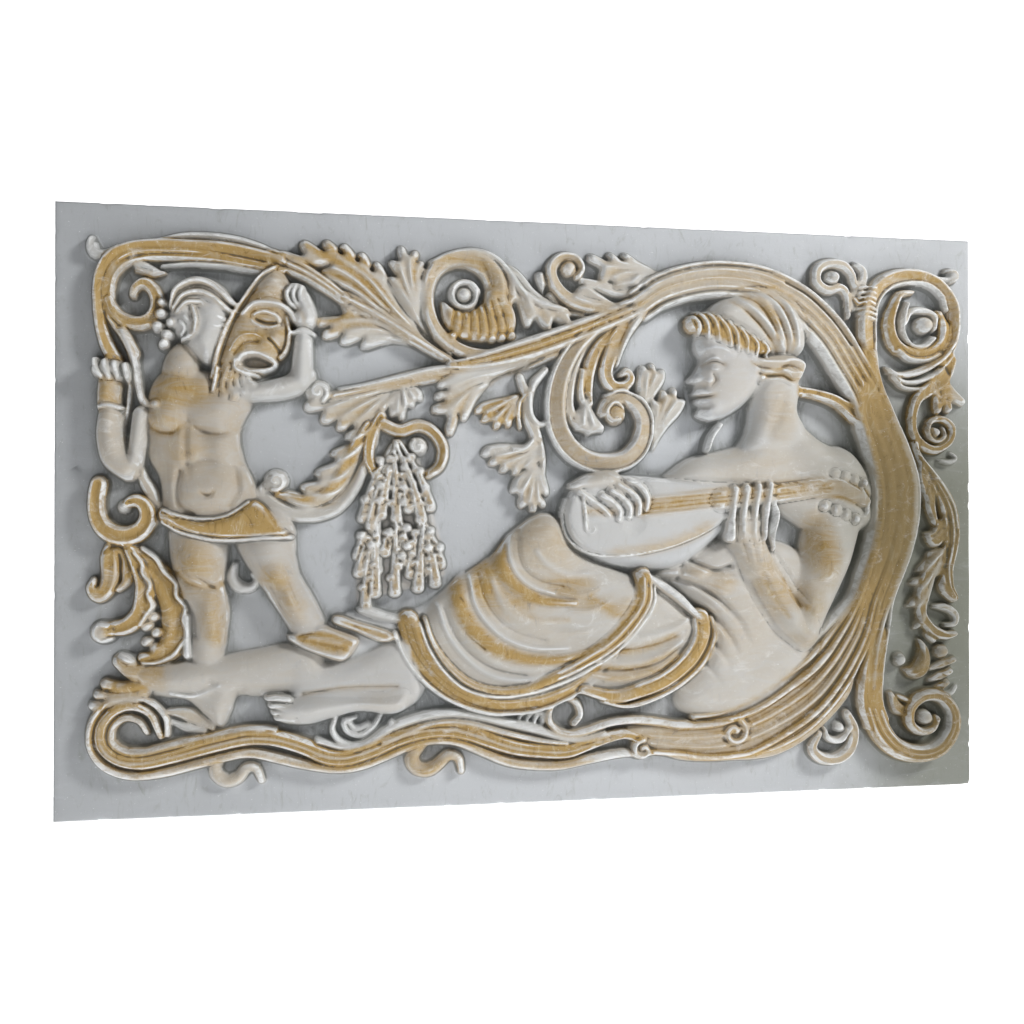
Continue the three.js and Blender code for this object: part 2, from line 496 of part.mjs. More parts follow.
function topMiddle() {
  strand([[650, 655], [628, 665], [617, 685], [622, 706], [645, 716], [662, 704], [658, 688]], [18, 16, 11], 23, "channel");
  mound(643, 698, 8, 8, 22);
  leaf([[610, 690], [640, 655], [690, 650], [740, 668]], [30, 42, 34, 18], 22, 4);
  leaf([[750, 694], [715, 695], [672, 713]], [30, 46, 24], 24, 4);
  strand([[750, 640], [715, 620], [700, 590], [697, 562], [714, 548], [726, 560]], [26, 24, 18, 12], 25, "flutes");
  strand([[655, 603], [637, 575], [626, 545], [624, 515], [628, 490], [643, 465], [665, 450], [692, 446], [720, 452],
    [738, 472], [743, 500], [733, 522], [712, 533], [695, 528], [688, 512]], [24, 26, 26, 24, 18], 29, "channel");
  mound(705, 510, 16, 16, 27);
  leaf([[658, 590], [655, 555], [652, 515], [672, 492], [692, 494]], [18, 34, 30, 14], 25, 4);
  leaf([[742, 512], [744, 540], [752, 570]], [18, 30, 16], 22, 3);
  leaf([[752, 468], [762, 500], [782, 536]], [18, 36, 20], 22, 4);
}

// Softens steep sides over a few raster steps, so that broad facets can follow them.
function softenSides(passes) {
  const wide = columns + 1;
  for (let pass = 0; pass < passes; pass++)
    for (const step of [1, wide]) {
      const before = field.slice();
      for (let k = step; k < field.length - step; k++)
        field[k] = (before[k - step] + 2 * before[k] + before[k + step]) / 4;
    }
}

// Fits triangles to the raster: in each pass the worst point of the triangles that miss the most becomes a corner.
function fitTriangles(target) {
  const corner = [[0, 0], [columns, 0], [columns, rows], [0, rows]];
  const tris = [0, 1, 2, 0, 2, 3];
  const twin = [-1, -1, 3, 2, -1, -1];
  let touched = new Set();
  const heightAt = ([i, j]) => field[j * (columns + 1) + i];
  const turn = (a, b, c) => (b[0] - a[0]) * (c[1] - a[1]) - (b[1] - a[1]) * (c[0] - a[0]);

  // Writes the triangle a, b, c at an edge slot and links its three twins.
  function setTriangle(corners, twins, slot = tris.length) {
    for (let k = 0; k < 3; k++) {
      tris[slot + k] = corners[k];
      twin[slot + k] = twins[k];
      if (twins[k] >= 0) twin[twins[k]] = slot + k;
    }
    touched.add(slot / 3);
    return slot;
  }

  // True when p is inside the circle through a, b and c.
  function inCircle(a, b, c, p) {
    const [ax, ay, bx, by] = [a[0] - p[0], a[1] - p[1], b[0] - p[0], b[1] - p[1]];
    const [cx, cy] = [c[0] - p[0], c[1] - p[1]];
    const [aa, bb, cc] = [ax * ax + ay * ay, bx * bx + by * by, cx * cx + cy * cy];
    return ax * (by * cc - bb * cy) - ay * (bx * cc - bb * cx) + aa * (bx * cy - by * cx) > 0;
  }

  const start = (e) => e - (e % 3);
  const next = (e) => start(e) + ((e + 1) % 3);
  const last = (e) => start(e) + ((e + 2) % 3);

  // Turns an edge over when the far corner lies in the circle of the near triangle.
  function flip(a) {
    const b = twin[a];
    if (b < 0) return;
    const [p0, pr, pl, p1] = [tris[last(a)], tris[a], tris[next(a)], tris[last(b)]];
    if (!inCircle(corner[p0], corner[pr], corner[pl], corner[p1])) return;
    const [hal, har, hbl, hbr] = [twin[next(a)], twin[last(a)], twin[last(b)], twin[next(b)]];
    const t0 = setTriangle([p0, p1, pl], [-1, hbl, hal], start(a));
    const t1 = setTriangle([p1, p0, pr], [t0, har, hbr], start(b));
    flip(t0 + 1);
    flip(t1 + 2);
  }

  // Splits the edge that the new corner n lies on.
  function splitEdge(n, a) {
    const b = twin[a];
    const [p0, pr, pl] = [tris[last(a)], tris[a], tris[next(a)]];
    const [hal, har] = [twin[next(a)], twin[last(a)]];
    if (b < 0) {
      const t0 = setTriangle([n, p0, pr], [-1, har, -1], start(a));
      const t1 = setTriangle([p0, n, pl], [t0, -1, hal]);
      return [t0 + 1, t1 + 2].forEach(flip);
    }
    const [p1, hbl, hbr] = [tris[last(b)], twin[last(b)], twin[next(b)]];
    const t0 = setTriangle([pl, p0, n], [hal, -1, -1], start(a));
    const t1 = setTriangle([p0, pr, n], [har, -1, t0 + 1], start(b));
    const t2 = setTriangle([pr, p1, n], [hbr, -1, t1 + 1]);
    const t3 = setTriangle([p1, pl, n], [hbl, t0 + 2, t2 + 1]);
    return [t0, t1, t2, t3].forEach(flip);
  }

  function addCorner(triangle, point) {
    const e = triangle * 3;
    const n = corner.push(point) - 1;
    const [a, b, c] = [tris[e], tris[e + 1], tris[e + 2]];
    const on = [[a, b], [b, c], [c, a]].findIndex(([p, q]) => turn(corner[p], corner[q], point) === 0);
    if (on >= 0) return splitEdge(n, e + on);
    const [h0, h1, h2] = [twin[e], twin[e + 1], twin[e + 2]];
    const t0 = setTriangle([a, b, n], [h0, -1, -1], e);
    const t1 = setTriangle([b, c, n], [h1, -1, t0 + 1]);
    const t2 = setTriangle([c, a, n], [h2, t0 + 2, t1 + 1]);
    return [t0, t1, t2].forEach(flip);
  }

  // The raster point of a triangle that lies farthest from its plane.
  function worstPoint(triangle) {
    const [a, b, c] = [0, 1, 2].map((k) => corner[tris[triangle * 3 + k]]);
    const area = turn(a, b, c);
    const worst = { triangle, miss: 0, total: 0, point: null };
    const [za, zb, zc] = [heightAt(a), heightAt(b), heightAt(c)];
    for (let j = Math.min(a[1], b[1], c[1]); j <= Math.max(a[1], b[1], c[1]); j++)
      for (let i = Math.min(a[0], b[0], c[0]); i <= Math.max(a[0], b[0], c[0]); i++) {
        const wa = turn(b, c, [i, j]) / area;
        const wb = turn(c, a, [i, j]) / area;
        if (wa < 0 || wb < 0 || wa + wb > 1) continue;
        const miss = Math.abs(heightAt([i, j]) - wa * za - wb * zb - (1 - wa - wb) * zc);
        worst.total += miss;
        if (miss > worst.miss) Object.assign(worst, { miss, point: [i, j] });
      }
    return worst;
  }

  let faults = [];
  while (tris.length / 3 < target) {
    faults = faults.filter((f) => !touched.has(f.triangle));
    for (const triangle of touched.size ? touched : [0, 1]) faults.push(worstPoint(triangle));
    faults.sort((a, b) => b.total - a.total);
    touched = new Set();
    const batch = Math.min(Math.ceil(faults.length * passShare) + 1, (target - tris.length / 3) / 2 + 1);
    for (const { triangle, miss, point } of faults.slice(0, batch))
      if (miss > facetMiss && !touched.has(triangle)) addCorner(triangle, point);
    if (!touched.size) break;
  }
  return { corner, tris, twin };
}

// The closed solid: the carved front, four straight sides and a flat back.
function panelGeometry() {
  const { corner, tris, twin } = fitTriangles(facetTarget);
  const rise = reliefDepth / sheet.depth;
  const toX = (i) => (i / columns - 0.5) * panelWidth;
  const toZ = (j) => (j / rows - 0.5) * panelHeight;
  const positions = [];
  for (const [i, j] of corner)
    positions.push(toX(i), -slabThickness - rise * field[j * (columns + 1) + i], toZ(j));
  const back = corner.length;
  for (const [i, j] of corner.slice(0, 4)) positions.push(toX(i), 0, toZ(j));
  const index = [...tris];
  const border = tris.map((from, e) => [from, tris[e - (e % 3) + ((e + 1) % 3)]]).filter((_, e) => twin[e] < 0);
  const sideOf = ([i, j], [m, n]) => (j + n === 0 ? 0 : i + m === 2 * columns ? 1 : j + n === 2 * rows ? 2 : 3);
  for (const [from, to] of border) index.push(from, back + sideOf(corner[from], corner[to]), to);
  for (let k = 0; k < 4; k++) index.push((k + 1) % 4, back + k, back + ((k + 1) % 4));
  index.push(back, back + 2, back + 1, back, back + 3, back + 2);
  const geometry = new THREE.BufferGeometry();
  geometry.setAttribute("position", new THREE.Float32BufferAttribute(positions, 3));
  geometry.setIndex(index);
  geometry.computeVertexNormals();
  return geometry;
}

const carving = [trunkAndBranches, upperRightRing, rightOrnaments, roots, middleFoliage, topMiddle, topLeftVine,
  leftScroll, flowerCluster, farLeg, playerBody, frontLeg, drapery, playerHead, playerHairAndCap, lute, childHead, mask,
  childBody, loincloth];
for (const carve of carving) carve();
softenSides(3);

const plaster = new THREE.MeshStandardMaterial({ color: 0xb9b5ab, roughness: 0.85, metalness: 0 });
const panel = new THREE.Mesh(panelGeometry(), plaster);
panel.name = "relief_panel";

const root = new THREE.Group();
root.add(panel);

export default root;
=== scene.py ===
import bpy
import numpy as np
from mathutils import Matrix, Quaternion, Vector


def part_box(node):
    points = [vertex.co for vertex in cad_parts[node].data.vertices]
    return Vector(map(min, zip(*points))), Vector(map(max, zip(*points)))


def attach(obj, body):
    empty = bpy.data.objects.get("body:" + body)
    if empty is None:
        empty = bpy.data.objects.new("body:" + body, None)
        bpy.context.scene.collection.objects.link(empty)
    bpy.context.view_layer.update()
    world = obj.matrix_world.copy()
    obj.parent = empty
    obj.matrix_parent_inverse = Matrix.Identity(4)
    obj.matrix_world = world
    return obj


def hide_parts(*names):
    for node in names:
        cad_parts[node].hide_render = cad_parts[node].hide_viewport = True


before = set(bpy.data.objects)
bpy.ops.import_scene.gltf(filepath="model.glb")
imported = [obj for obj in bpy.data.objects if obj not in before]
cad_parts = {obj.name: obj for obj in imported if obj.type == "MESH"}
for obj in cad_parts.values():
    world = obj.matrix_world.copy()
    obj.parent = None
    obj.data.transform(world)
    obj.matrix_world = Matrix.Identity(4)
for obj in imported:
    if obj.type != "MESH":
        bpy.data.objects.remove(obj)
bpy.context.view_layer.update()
millimetre = 0.001
solidLow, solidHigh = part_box("relief_panel")
print("frame loaded:", [round(v, 4) for v in (*solidLow, *solidHigh)])

# The sheet that the scene is drawn on, in millimetres: u to the right, v up from the lower left corner.
sheet = {"step": 1.25, "seed": 7}
for side, axis in (("width", 0), ("height", 2)):
    sheet[side] = round((solidHigh[axis] - solidLow[axis]) / millimetre, 1)
# Its lines are drawn as they look on a plane 20 above the ground to an eye in front of the panel.
eye = {"u": 338.0, "v": 370.0, "distance": 1400.0, "plane": 20.0}

cols = int(round(sheet["width"] / sheet["step"])) + 1
rows = int(round(sheet["height"] / sheet["step"])) + 1
uAxis = np.linspace(0.0, sheet["width"], cols)
vAxis = np.linspace(0.0, sheet["height"], rows)
field = np.zeros((rows, cols))      # height of the carving above the ground
goldMap = np.zeros((rows, cols))    # how much ochre wash lies there
paleMap = np.zeros((rows, cols))    # how far the paint goes from grey to off-white

# The modelling tool, in millimetres: spacing of points on a line, room left round a stroke, reach of a moat
tool = {"spacing": 3.0, "margin": 6.0, "moatReach": 5.0, "finePoints": 12}


def seat(points, height):
    # A drawn point moves along its line of sight: eye + (point - eye) * (1 - (height - plane) / distance)
    centre = np.array([eye["u"], eye["v"]])
    return centre + (np.asarray(points, float) - centre) * (1 - (height - eye["plane"]) / eye["distance"])


def lineThrough(points, spacing=tool["spacing"], closed=False):
    # Catmull-Rom through the points, then equal steps of its length
    p = np.asarray(points, float)
    ends = (p[-1:], p[:2]) if closed else (2 * p[:1] - p[1:2], 2 * p[-1:] - p[-2:-1])
    ring = np.vstack([ends[0], p, ends[1]])
    t = np.linspace(0, 1, tool["finePoints"], endpoint=False)[:, None]
    pieces = []
    for k in range(len(ring) - 3):
        a, b, c, d = ring[k:k + 4]
        pieces.append(0.5 * (2 * b + (c - a) * t + (2 * a - 5 * b + 4 * c - d) * t ** 2
                             + (3 * b - a - 3 * c + d) * t ** 3))
    pieces.append(ring[-2][None, :])
    fine = np.vstack(pieces)
    run = np.concatenate([[0], np.cumsum(np.hypot(*np.diff(fine, axis=0).T))])
    n = max(3, int(np.ceil(run[-1] / spacing)) + 1)
    at = np.linspace(0, run[-1], n)
    return np.column_stack([np.interp(at, run, fine[:, 0]), np.interp(at, run, fine[:, 1])])


def window(uLow, uHigh, vLow, vHigh):
    # The slices of the sheet's grid that cover a rectangle
    i0, i1 = np.searchsorted(uAxis, [uLow, uHigh])
    j0, j1 = np.searchsorted(vAxis, [vLow, vHigh])
    return slice(j0, j1), slice(i0, i1)


def listed(value):
    # One number or many, as a row
    return np.atleast_1d(np.asarray(value, float))


def along(values, s):
    # Equal steps of a list over the share s of a length
    values = listed(values)
    return np.interp(s, np.linspace(0, 1, len(values)), values) if len(values) > 1 else values[0] + 0 * s


def trace(line, widths, margin):
    # Nearest piece of a line: q = distance / half width, signed to the left, s = share of the length
    pad = listed(widths).max() / 2 + margin
    low, high = line.min(0) - pad, line.max(0) + pad
    win = window(low[0], high[0], low[1], high[1])
    u, v = np.meshgrid(uAxis[win[1]], vAxis[win[0]])
    q = np.full(u.shape, np.inf)
    s = np.zeros(u.shape)
    side = np.ones(u.shape)
    last = len(line) - 1
    for k in range(last):
        a, d = line[k], line[k + 1] - line[k]
        lo = np.minimum(a, a + d) - pad
        hi = np.maximum(a, a + d) + pad
        i0, i1 = np.searchsorted(u[0], [lo[0], hi[0]]) if u.size else (0, 0)
        j0, j1 = np.searchsorted(v[:, 0], [lo[1], hi[1]]) if u.size else (0, 0)
        sub = (slice(j0, j1), slice(i0, i1))
        pu, pv = u[sub] - a[0], v[sub] - a[1]
        t = np.clip((pu * d[0] + pv * d[1]) / (d @ d + 1e-9), 0, 1)
        share = (k + t) / last
        far = np.hypot(pu - t * d[0], pv - t * d[1]) / (along(widths, share) / 2 + 1e-6)
        near = far < q[sub]
        q[sub] = np.where(near, far, q[sub])
        s[sub] = np.where(near, share, s[sub])
        side[sub] = np.where(near, np.where(d[0] * pv - d[1] * pu < 0, -1.0, 1.0), side[sub])
    return win, q, s, side


def ramp(low, high, x):
    # t * t * (3 - 2 * t), where t runs from 0 at low to 1 at high
    t = np.clip((x - low) / (high - low), 0, 1)
    return t * t * (3 - 2 * t)


def dome(x, power=2.0):
    # sqrt(1 - |x| ** power), a half circle where the power is 2
    return np.sqrt(np.clip(1 - np.abs(x) ** power, 0, 1))


# Cross sections of a carved strand: q runs from -1 to 1 over its width, s from 0 to 1 along it
forms = {
    "round": lambda q, s, n: dome(q),
    "flat": lambda q, s, n: dome(q, 6),
    "roof": lambda q, s, n: np.clip(1 - np.abs(q), 0, 1) ** 0.6,
    "channel": lambda q, s, n: (0.8 + 0.2 * ramp(0.2, 0.75, np.abs(q))) * dome(q, 6),
    "lip": lambda q, s, n: (0.74 + 0.26 * ramp(-0.5, 0.75, q)) * dome(q, 5),
    "flutes": lambda q, s, n: (0.86 + 0.14 * np.cos(np.clip(q, -2, 2) * np.pi * n)) * dome(q, 4),
    "petal": lambda q, s, n: (1 - 0.2 * np.exp(-(q / 0.35) ** 2)) * dome(q, 3) * (0.85 + 0.15 * s),
    "twist": lambda q, s, n: (0.8 + 0.2 * np.sin(s * 2 * np.pi * n + q * 2.4)) * dome(q, 3),
}


def raiseTo(win, inside, height, soft, gold, pale):
    # The higher of old and new, blended over `soft`; the paint follows whatever is on top
    low = field[win]
    gap = np.clip(soft - np.abs(low - height), 0, None)
    top = np.maximum(low, height) + (gap ** 2 / (4 * soft) if soft > 0 else 0)
    won = inside & (height > low)
    share = np.where(inside, np.clip(0.5 + (height - low) / (2 * soft + 1e-6), 0, 1),
        0) if soft > 0 else won * 1.0
    field[win] = np.where(inside, top, low)
    goldMap[win] += (gold - goldMap[win]) * share
    paleMap[win] += (pale - paleMap[win]) * share


def moat(win, away, height, depth, reach=tool["moatReach"]):
    # A cut just outside a shape, in work that stands lower than it: depth * (1 - away / reach) ** 2
    cut = depth * np.clip(1 - away / reach, 0, 1) ** 2 * (away > 0) * (field[win] < height)
    field[win] = np.where(field[win] > 0, np.maximum(0, field[win] - cut * ramp(0, 6, field[win])),
        field[win])


def strand(points, width, height, form="round", soft=0.0, gold=0.0, pale=1.0, cut=4.0, n=3):
    # Height times the cross section, carried along a smooth line
    line = lineThrough(seat(points, listed(height).max()))
    win, q, s, side = trace(line, width, tool["margin"])
    if q.size == 0:
        return
    top = along(height, s)
    if cut and not soft:
        moat(win, (q - 1) * along(width, s) / 2, top, cut)
    raiseTo(win, q < 1, top * forms[form](q * side, s, n), soft, gold, pale)


def fromCentre(u, v, height, radiusU, radiusV, turn, margin):
    # Distance from a place in radii of a turned ellipse: r = 1 on its rim
    c = seat([u, v], height)
    reach = max(radiusU, radiusV) + margin
    win = window(c[0] - reach, c[0] + reach, c[1] - reach, c[1] + reach)
    pu, pv = np.meshgrid(uAxis[win[1]] - c[0], vAxis[win[0]] - c[1])
    ca, sa = np.cos(np.radians(turn)), np.sin(np.radians(turn))
    return win, np.hypot((pu * ca + pv * sa) / radiusU, (pv * ca - pu * sa) / radiusV)


def mound(u, v, radiusU, radiusV, height, turn=0.0, base=0.0, soft=0.0, gold=0.0, pale=1.0, cut=4.0,
        power=2.0):
    # Half an ellipsoid: base + (height - base) * sqrt(1 - r * r)
    win, r = fromCentre(u, v, height, radiusU, radiusV, turn, tool["margin"])
    if cut and not soft:
        moat(win, (r - 1) * min(radiusU, radiusV), height, cut)
    raiseTo(win, r < 1, base + (height - base) * dome(r, power), soft, gold, pale)


def insideOf(points, height):
    # Distance in from a closed outline, positive inside: even-odd crossings and the nearest edge
    line = lineThrough(seat(points, height), 4.0, closed=True)
    low, high = line.min(0) - tool["margin"], line.max(0) + tool["margin"]
    win = window(low[0], high[0], low[1], high[1])
    u, v = np.meshgrid(uAxis[win[1]], vAxis[win[0]])
    odd = np.zeros(u.shape, bool)
    near = np.full(u.shape, np.inf)
    for a, b in zip(line[:-1], line[1:]):
        d = b - a
        if d[1] != 0:
            odd ^= ((a[1] > v) != (b[1] > v)) & (u < a[0] + d[0] * (v - a[1]) / d[1])
        t = np.clip(((u - a[0]) * d[0] + (v - a[1]) * d[1]) / (d @ d + 1e-9), 0, 1)
        near = np.minimum(near, np.hypot(u - a[0] - t * d[0], v - a[1] - t * d[1]))
    return win, np.where(odd, near, -near), u, v


def plate(points, height, edge, soft=0.0, gold=0.0, pale=1.0, cut=4.0, tilt=(0.0, 0.0)):
    # A filled outline that rounds up over `edge` from its border, tilted by millimetres per 100 mm
    win, depthIn, u, v = insideOf(points, height * 0.7)
    if cut and not soft:
        moat(win, -depthIn, height, cut)
    lean = ((u - u.mean()) * tilt[0] + (v - v.mean()) * tilt[1]) / 100
    raiseTo(win, depthIn > 0, (height + lean) * dome(1 - np.clip(depthIn / edge, 0, 1)), soft, gold, pale)


def crease(points, width, amount, gold=None, at=30):
    # Adds amount * (1 - q * q) ** 2 to work that stands up; a negative amount is a groove
    win, q, s, side = trace(lineThrough(seat(points, at)), width, 2)
    share = np.clip(1 - q ** 2, 0, 1) ** 2 * ramp(1, 6, field[win])
    field[win] = np.maximum(0, field[win] + along(amount, s) * share)
    if gold is not None:
        goldMap[win] += (gold - goldMap[win]) * share


def paint(points, width, gold, strength=1.0, at=25):
    # A brush of ochre over what is there
    win, q, s, side = trace(lineThrough(seat(points, at)), width, 2)
    share = np.clip(1.2 - q, 0, 1) ** 0.7 * strength * (field[win] > 1)
    goldMap[win] += (gold - goldMap[win]) * np.clip(share, 0, 1)


def pit(u, v, radius, depth, gold=None, at=25):
    # A round hollow: depth * (1 - r * r)
    win, r = fromCentre(u, v, at, radius, radius, 0, 0)
    share = np.clip(1 - r ** 2, 0, 1)
    field[win] = np.maximum(0, field[win] - depth * share)
    if gold is not None:
        goldMap[win] += (gold - goldMap[win]) * np.sqrt(share)


def swell(u, v, radiusU, radiusV, amount, turn=0.0, gold=None, at=35):
    # Adds amount * (1 - r * r) ** 2 to work that stands up
    win, r = fromCentre(u, v, at, radiusU, radiusV, turn, 0)
    share = np.clip(1 - r ** 2, 0, 1) ** 2 * ramp(2, 10, field[win])
    field[win] = np.maximum(0, field[win] + amount * share)
    if gold is not None:
        goldMap[win] += (gold - goldMap[win]) * np.sqrt(share)


def blade(root, lobes, widths, height, gold=0.4, depth=5.0, edge=7):
    # A leaf in one piece: its outline runs root, side, tip - across, tip + aim, tip + across for each lobe,
    # with an ochre trough down each lobe and a ridge between two lobes
    golds = listed(gold)
    paths = [lineThrough([root, *lobe], 3.0) for lobe in lobes]
    wide = listed(widths).max() / 2
    share = lambda path, t: path[int(round(t * (len(path) - 1)))]
    side = []
    for path, other in ((paths[0], paths[1]), (paths[-1], paths[-2])):
        away = share(path, 0.6) - share(other, 0.6)
        away = away / (np.hypot(*away) + 1e-6) * wide
        side.append([share(path, 0.3) + away * 0.5, share(path, 0.55) + away * 0.9, share(path,
            0.8) + away])
    outline = [np.array(root, float)] + side[0]
    for k, path in enumerate(paths):
        aim = path[-1] - share(path, 0.8)
        aim = aim / (np.hypot(*aim) + 1e-6)
        across = np.array([-aim[1], aim[0]]) * wide * 0.55
        if (share(paths[-1], 0.8) - share(paths[0], 0.8)) @ across < 0:
            across = -across
        outline += [path[-1] - across, path[-1] + aim * wide * 0.4, path[-1] + across]
        if k + 1 < len(paths):
            outline.append(0.4 * (path[-1] + paths[k + 1][-1]) + 0.1 * (share(path,
                0.7) + share(paths[k + 1], 0.7)))
    outline += side[1][::-1]
    plate(outline, height, edge, gold=float(golds.mean()) * 0.5)
    for k, lobe in enumerate(lobes):
        crease([root, *lobe], listed(widths) * 0.8, [-1, -depth, -depth, -1.5],
            gold=float(golds[k % len(golds)]), at=height * 0.7)
    for path, other in zip(paths[:-1], paths[1:]):
        between = [(share(path, t) + share(other, t)) / 2 for t in (0.15, 0.4, 0.65, 0.85)]
        crease(between, [3, 5, 7, 5], [1, depth, depth, 1], gold=0.05, at=height * 0.7)


def scroll(u, v, radius, start, turns, width, height, form="channel", tail=0.2, **look):
    # A strand that winds in: r = radius * (1 - (1 - tail) * t), the angle turns on from start
    t = np.linspace(0, 1, int(np.ceil(abs(turns) * 10)) + 1)
    angle = np.radians(start) + 2 * np.pi * turns * t
    r = radius * (1 - (1 - tail) * t)
    points = np.column_stack([u + r * np.cos(angle), v + r * np.sin(angle)])
    strand(points, [width, width * 0.7], height, form, **look)


def topLeftVine():
    # Two bands rise from the child's fist, arch over the corner and run along the top
    for rise, wide, high, g in ((14, 12, 20, 0.1), (-22, 7, 22, 0.1)):
        strand([[128, 704 + rise * 0.9], [160, 709 + rise], [205, 708 + rise], [245, 701 + rise * 0.9],
            [270, 698 + rise * 0.4]], [wide * 0.7, wide, wide, wide * 0.6], high, gold=g, cut=3)
    strand([[262, 700], [285, 690], [305, 681], [328, 667], [352, 650]], [26, 24, 20, 16], 25, "flutes",
        gold=0.5)
    strand([[96, 574], [84, 598], [69, 622], [65, 648], [70, 672], [84, 688], [105, 696], [140, 698],
        [190, 697], [240, 690], [276, 684]], [14, 15, 15, 15, 14, 13, 12, 8], 25, "channel", gold=0.8)
    strand([[74, 564], [61, 590], [54, 620], [52, 650], [56, 675], [68, 693], [88, 704], [115, 709],
        [150, 710], [200, 710], [240, 704], [272, 696]], [20, 16, 14, 16, 20, 20, 18, 17, 16, 14], 27,
        "lip", gold=0.9)
    strand([[66, 640], [76, 622], [95, 613], [113, 617], [123, 634], [119, 653], [107, 663], [96, 656],
        [94, 648]], [10, 17, 19, 19, 16, 10], 25, "channel", gold=0.8)
    strand([[82, 602], [92, 580], [97, 556], [101, 532], [106, 517], [115, 511], [124, 513]],
        [14, 12, 10, 12], 26, gold=0.15)
    mound(122, 513, 9, 8, 36, gold=0.6)
    strand([[89, 592], [93, 562], [91, 530], [88, 502], [84, 478]], [12, 9, 8, 4], 19, "roof", gold=0.3)
    strand([[78, 706], [62, 698], [50, 697], [44, 706], [45, 715]], [8, 10, 14, 9], 19)
    strand([[60, 697], [52, 701], [50, 709]], 5, 21, cut=2)
    strand([[96, 690], [106, 681], [125, 676]], [11, 18, 7], 22, "petal")
    strand([[98, 678], [118, 672], [132, 676]], [6, 9, 4], 19, gold=0.9)
    crease([[60, 690], [51, 668], [48, 645], [50, 615]], 5, -3)


def leftScroll():
    # Acanthus leaf and its two curls, down the left edge
    strand([[104, 432], [108, 418], [118, 400], [124, 380], [120, 366]], [11, 17, 17, 11], 21, "petal",
        gold=0.25)
    strand([[74, 345], [68, 325], [68, 302], [64, 286], [54, 278], [46, 286], [49, 296]],
        [18, 26, 24, 21, 9], 22, "petal", gold=0.7)
    strand([[82, 340], [90, 318], [88, 296], [78, 284]], [13, 20, 7], 20, "petal", gold=0.8)
    strand([[88, 338], [102, 312], [109, 284], [104, 256], [88, 240], [68, 236]], [12, 20, 26, 24, 18],
        25, "channel", gold=1.0)
    mound(58, 232, 15, 14, 25, gold=0.25)
    strand([[66, 240], [54, 242], [50, 230], [58, 221], [70, 224]], 6, 27, cut=2)
    strand([[92, 334], [122, 306], [142, 276], [148, 245], [142, 216], [122, 200], [106, 200]],
        [13, 29, 40, 42, 34, 13], 23, "petal", gold=0.95)
    ridges = (
        [[104, 336], [122, 322], [132, 306], [146, 292], [147, 276], [158, 262], [155, 246], [161, 230],
         [153, 216], [143, 203], [124, 194], [106, 194]],
        [[96, 330], [106, 318], [107, 304], [116, 292], [113, 278], [119, 264], [110, 252], [104, 240]],
    )
    for line in ridges:
        strand(line, [4, 6, 6, 6, 4], 27, cut=3)
    for u, v in ((119, 250), (112, 239), (124, 231), (112, 220), (122, 212)):
        mound(u, v, 9, 7, 21, turn=20, gold=0.35, cut=3)
    strand([[54, 414], [51, 398], [52, 376], [62, 358], [82, 350], [102, 356], [112, 372], [108, 388],
        [98, 394], [90, 392]], [22, 22, 24, 25, 22, 14], 27, "channel", gold=1.0)
    mound(84, 386, 9, 9, 24)
    mound(84, 386, 5, 5, 26)
    crease([[60, 330], [72, 338], [86, 334]], 6, -4)


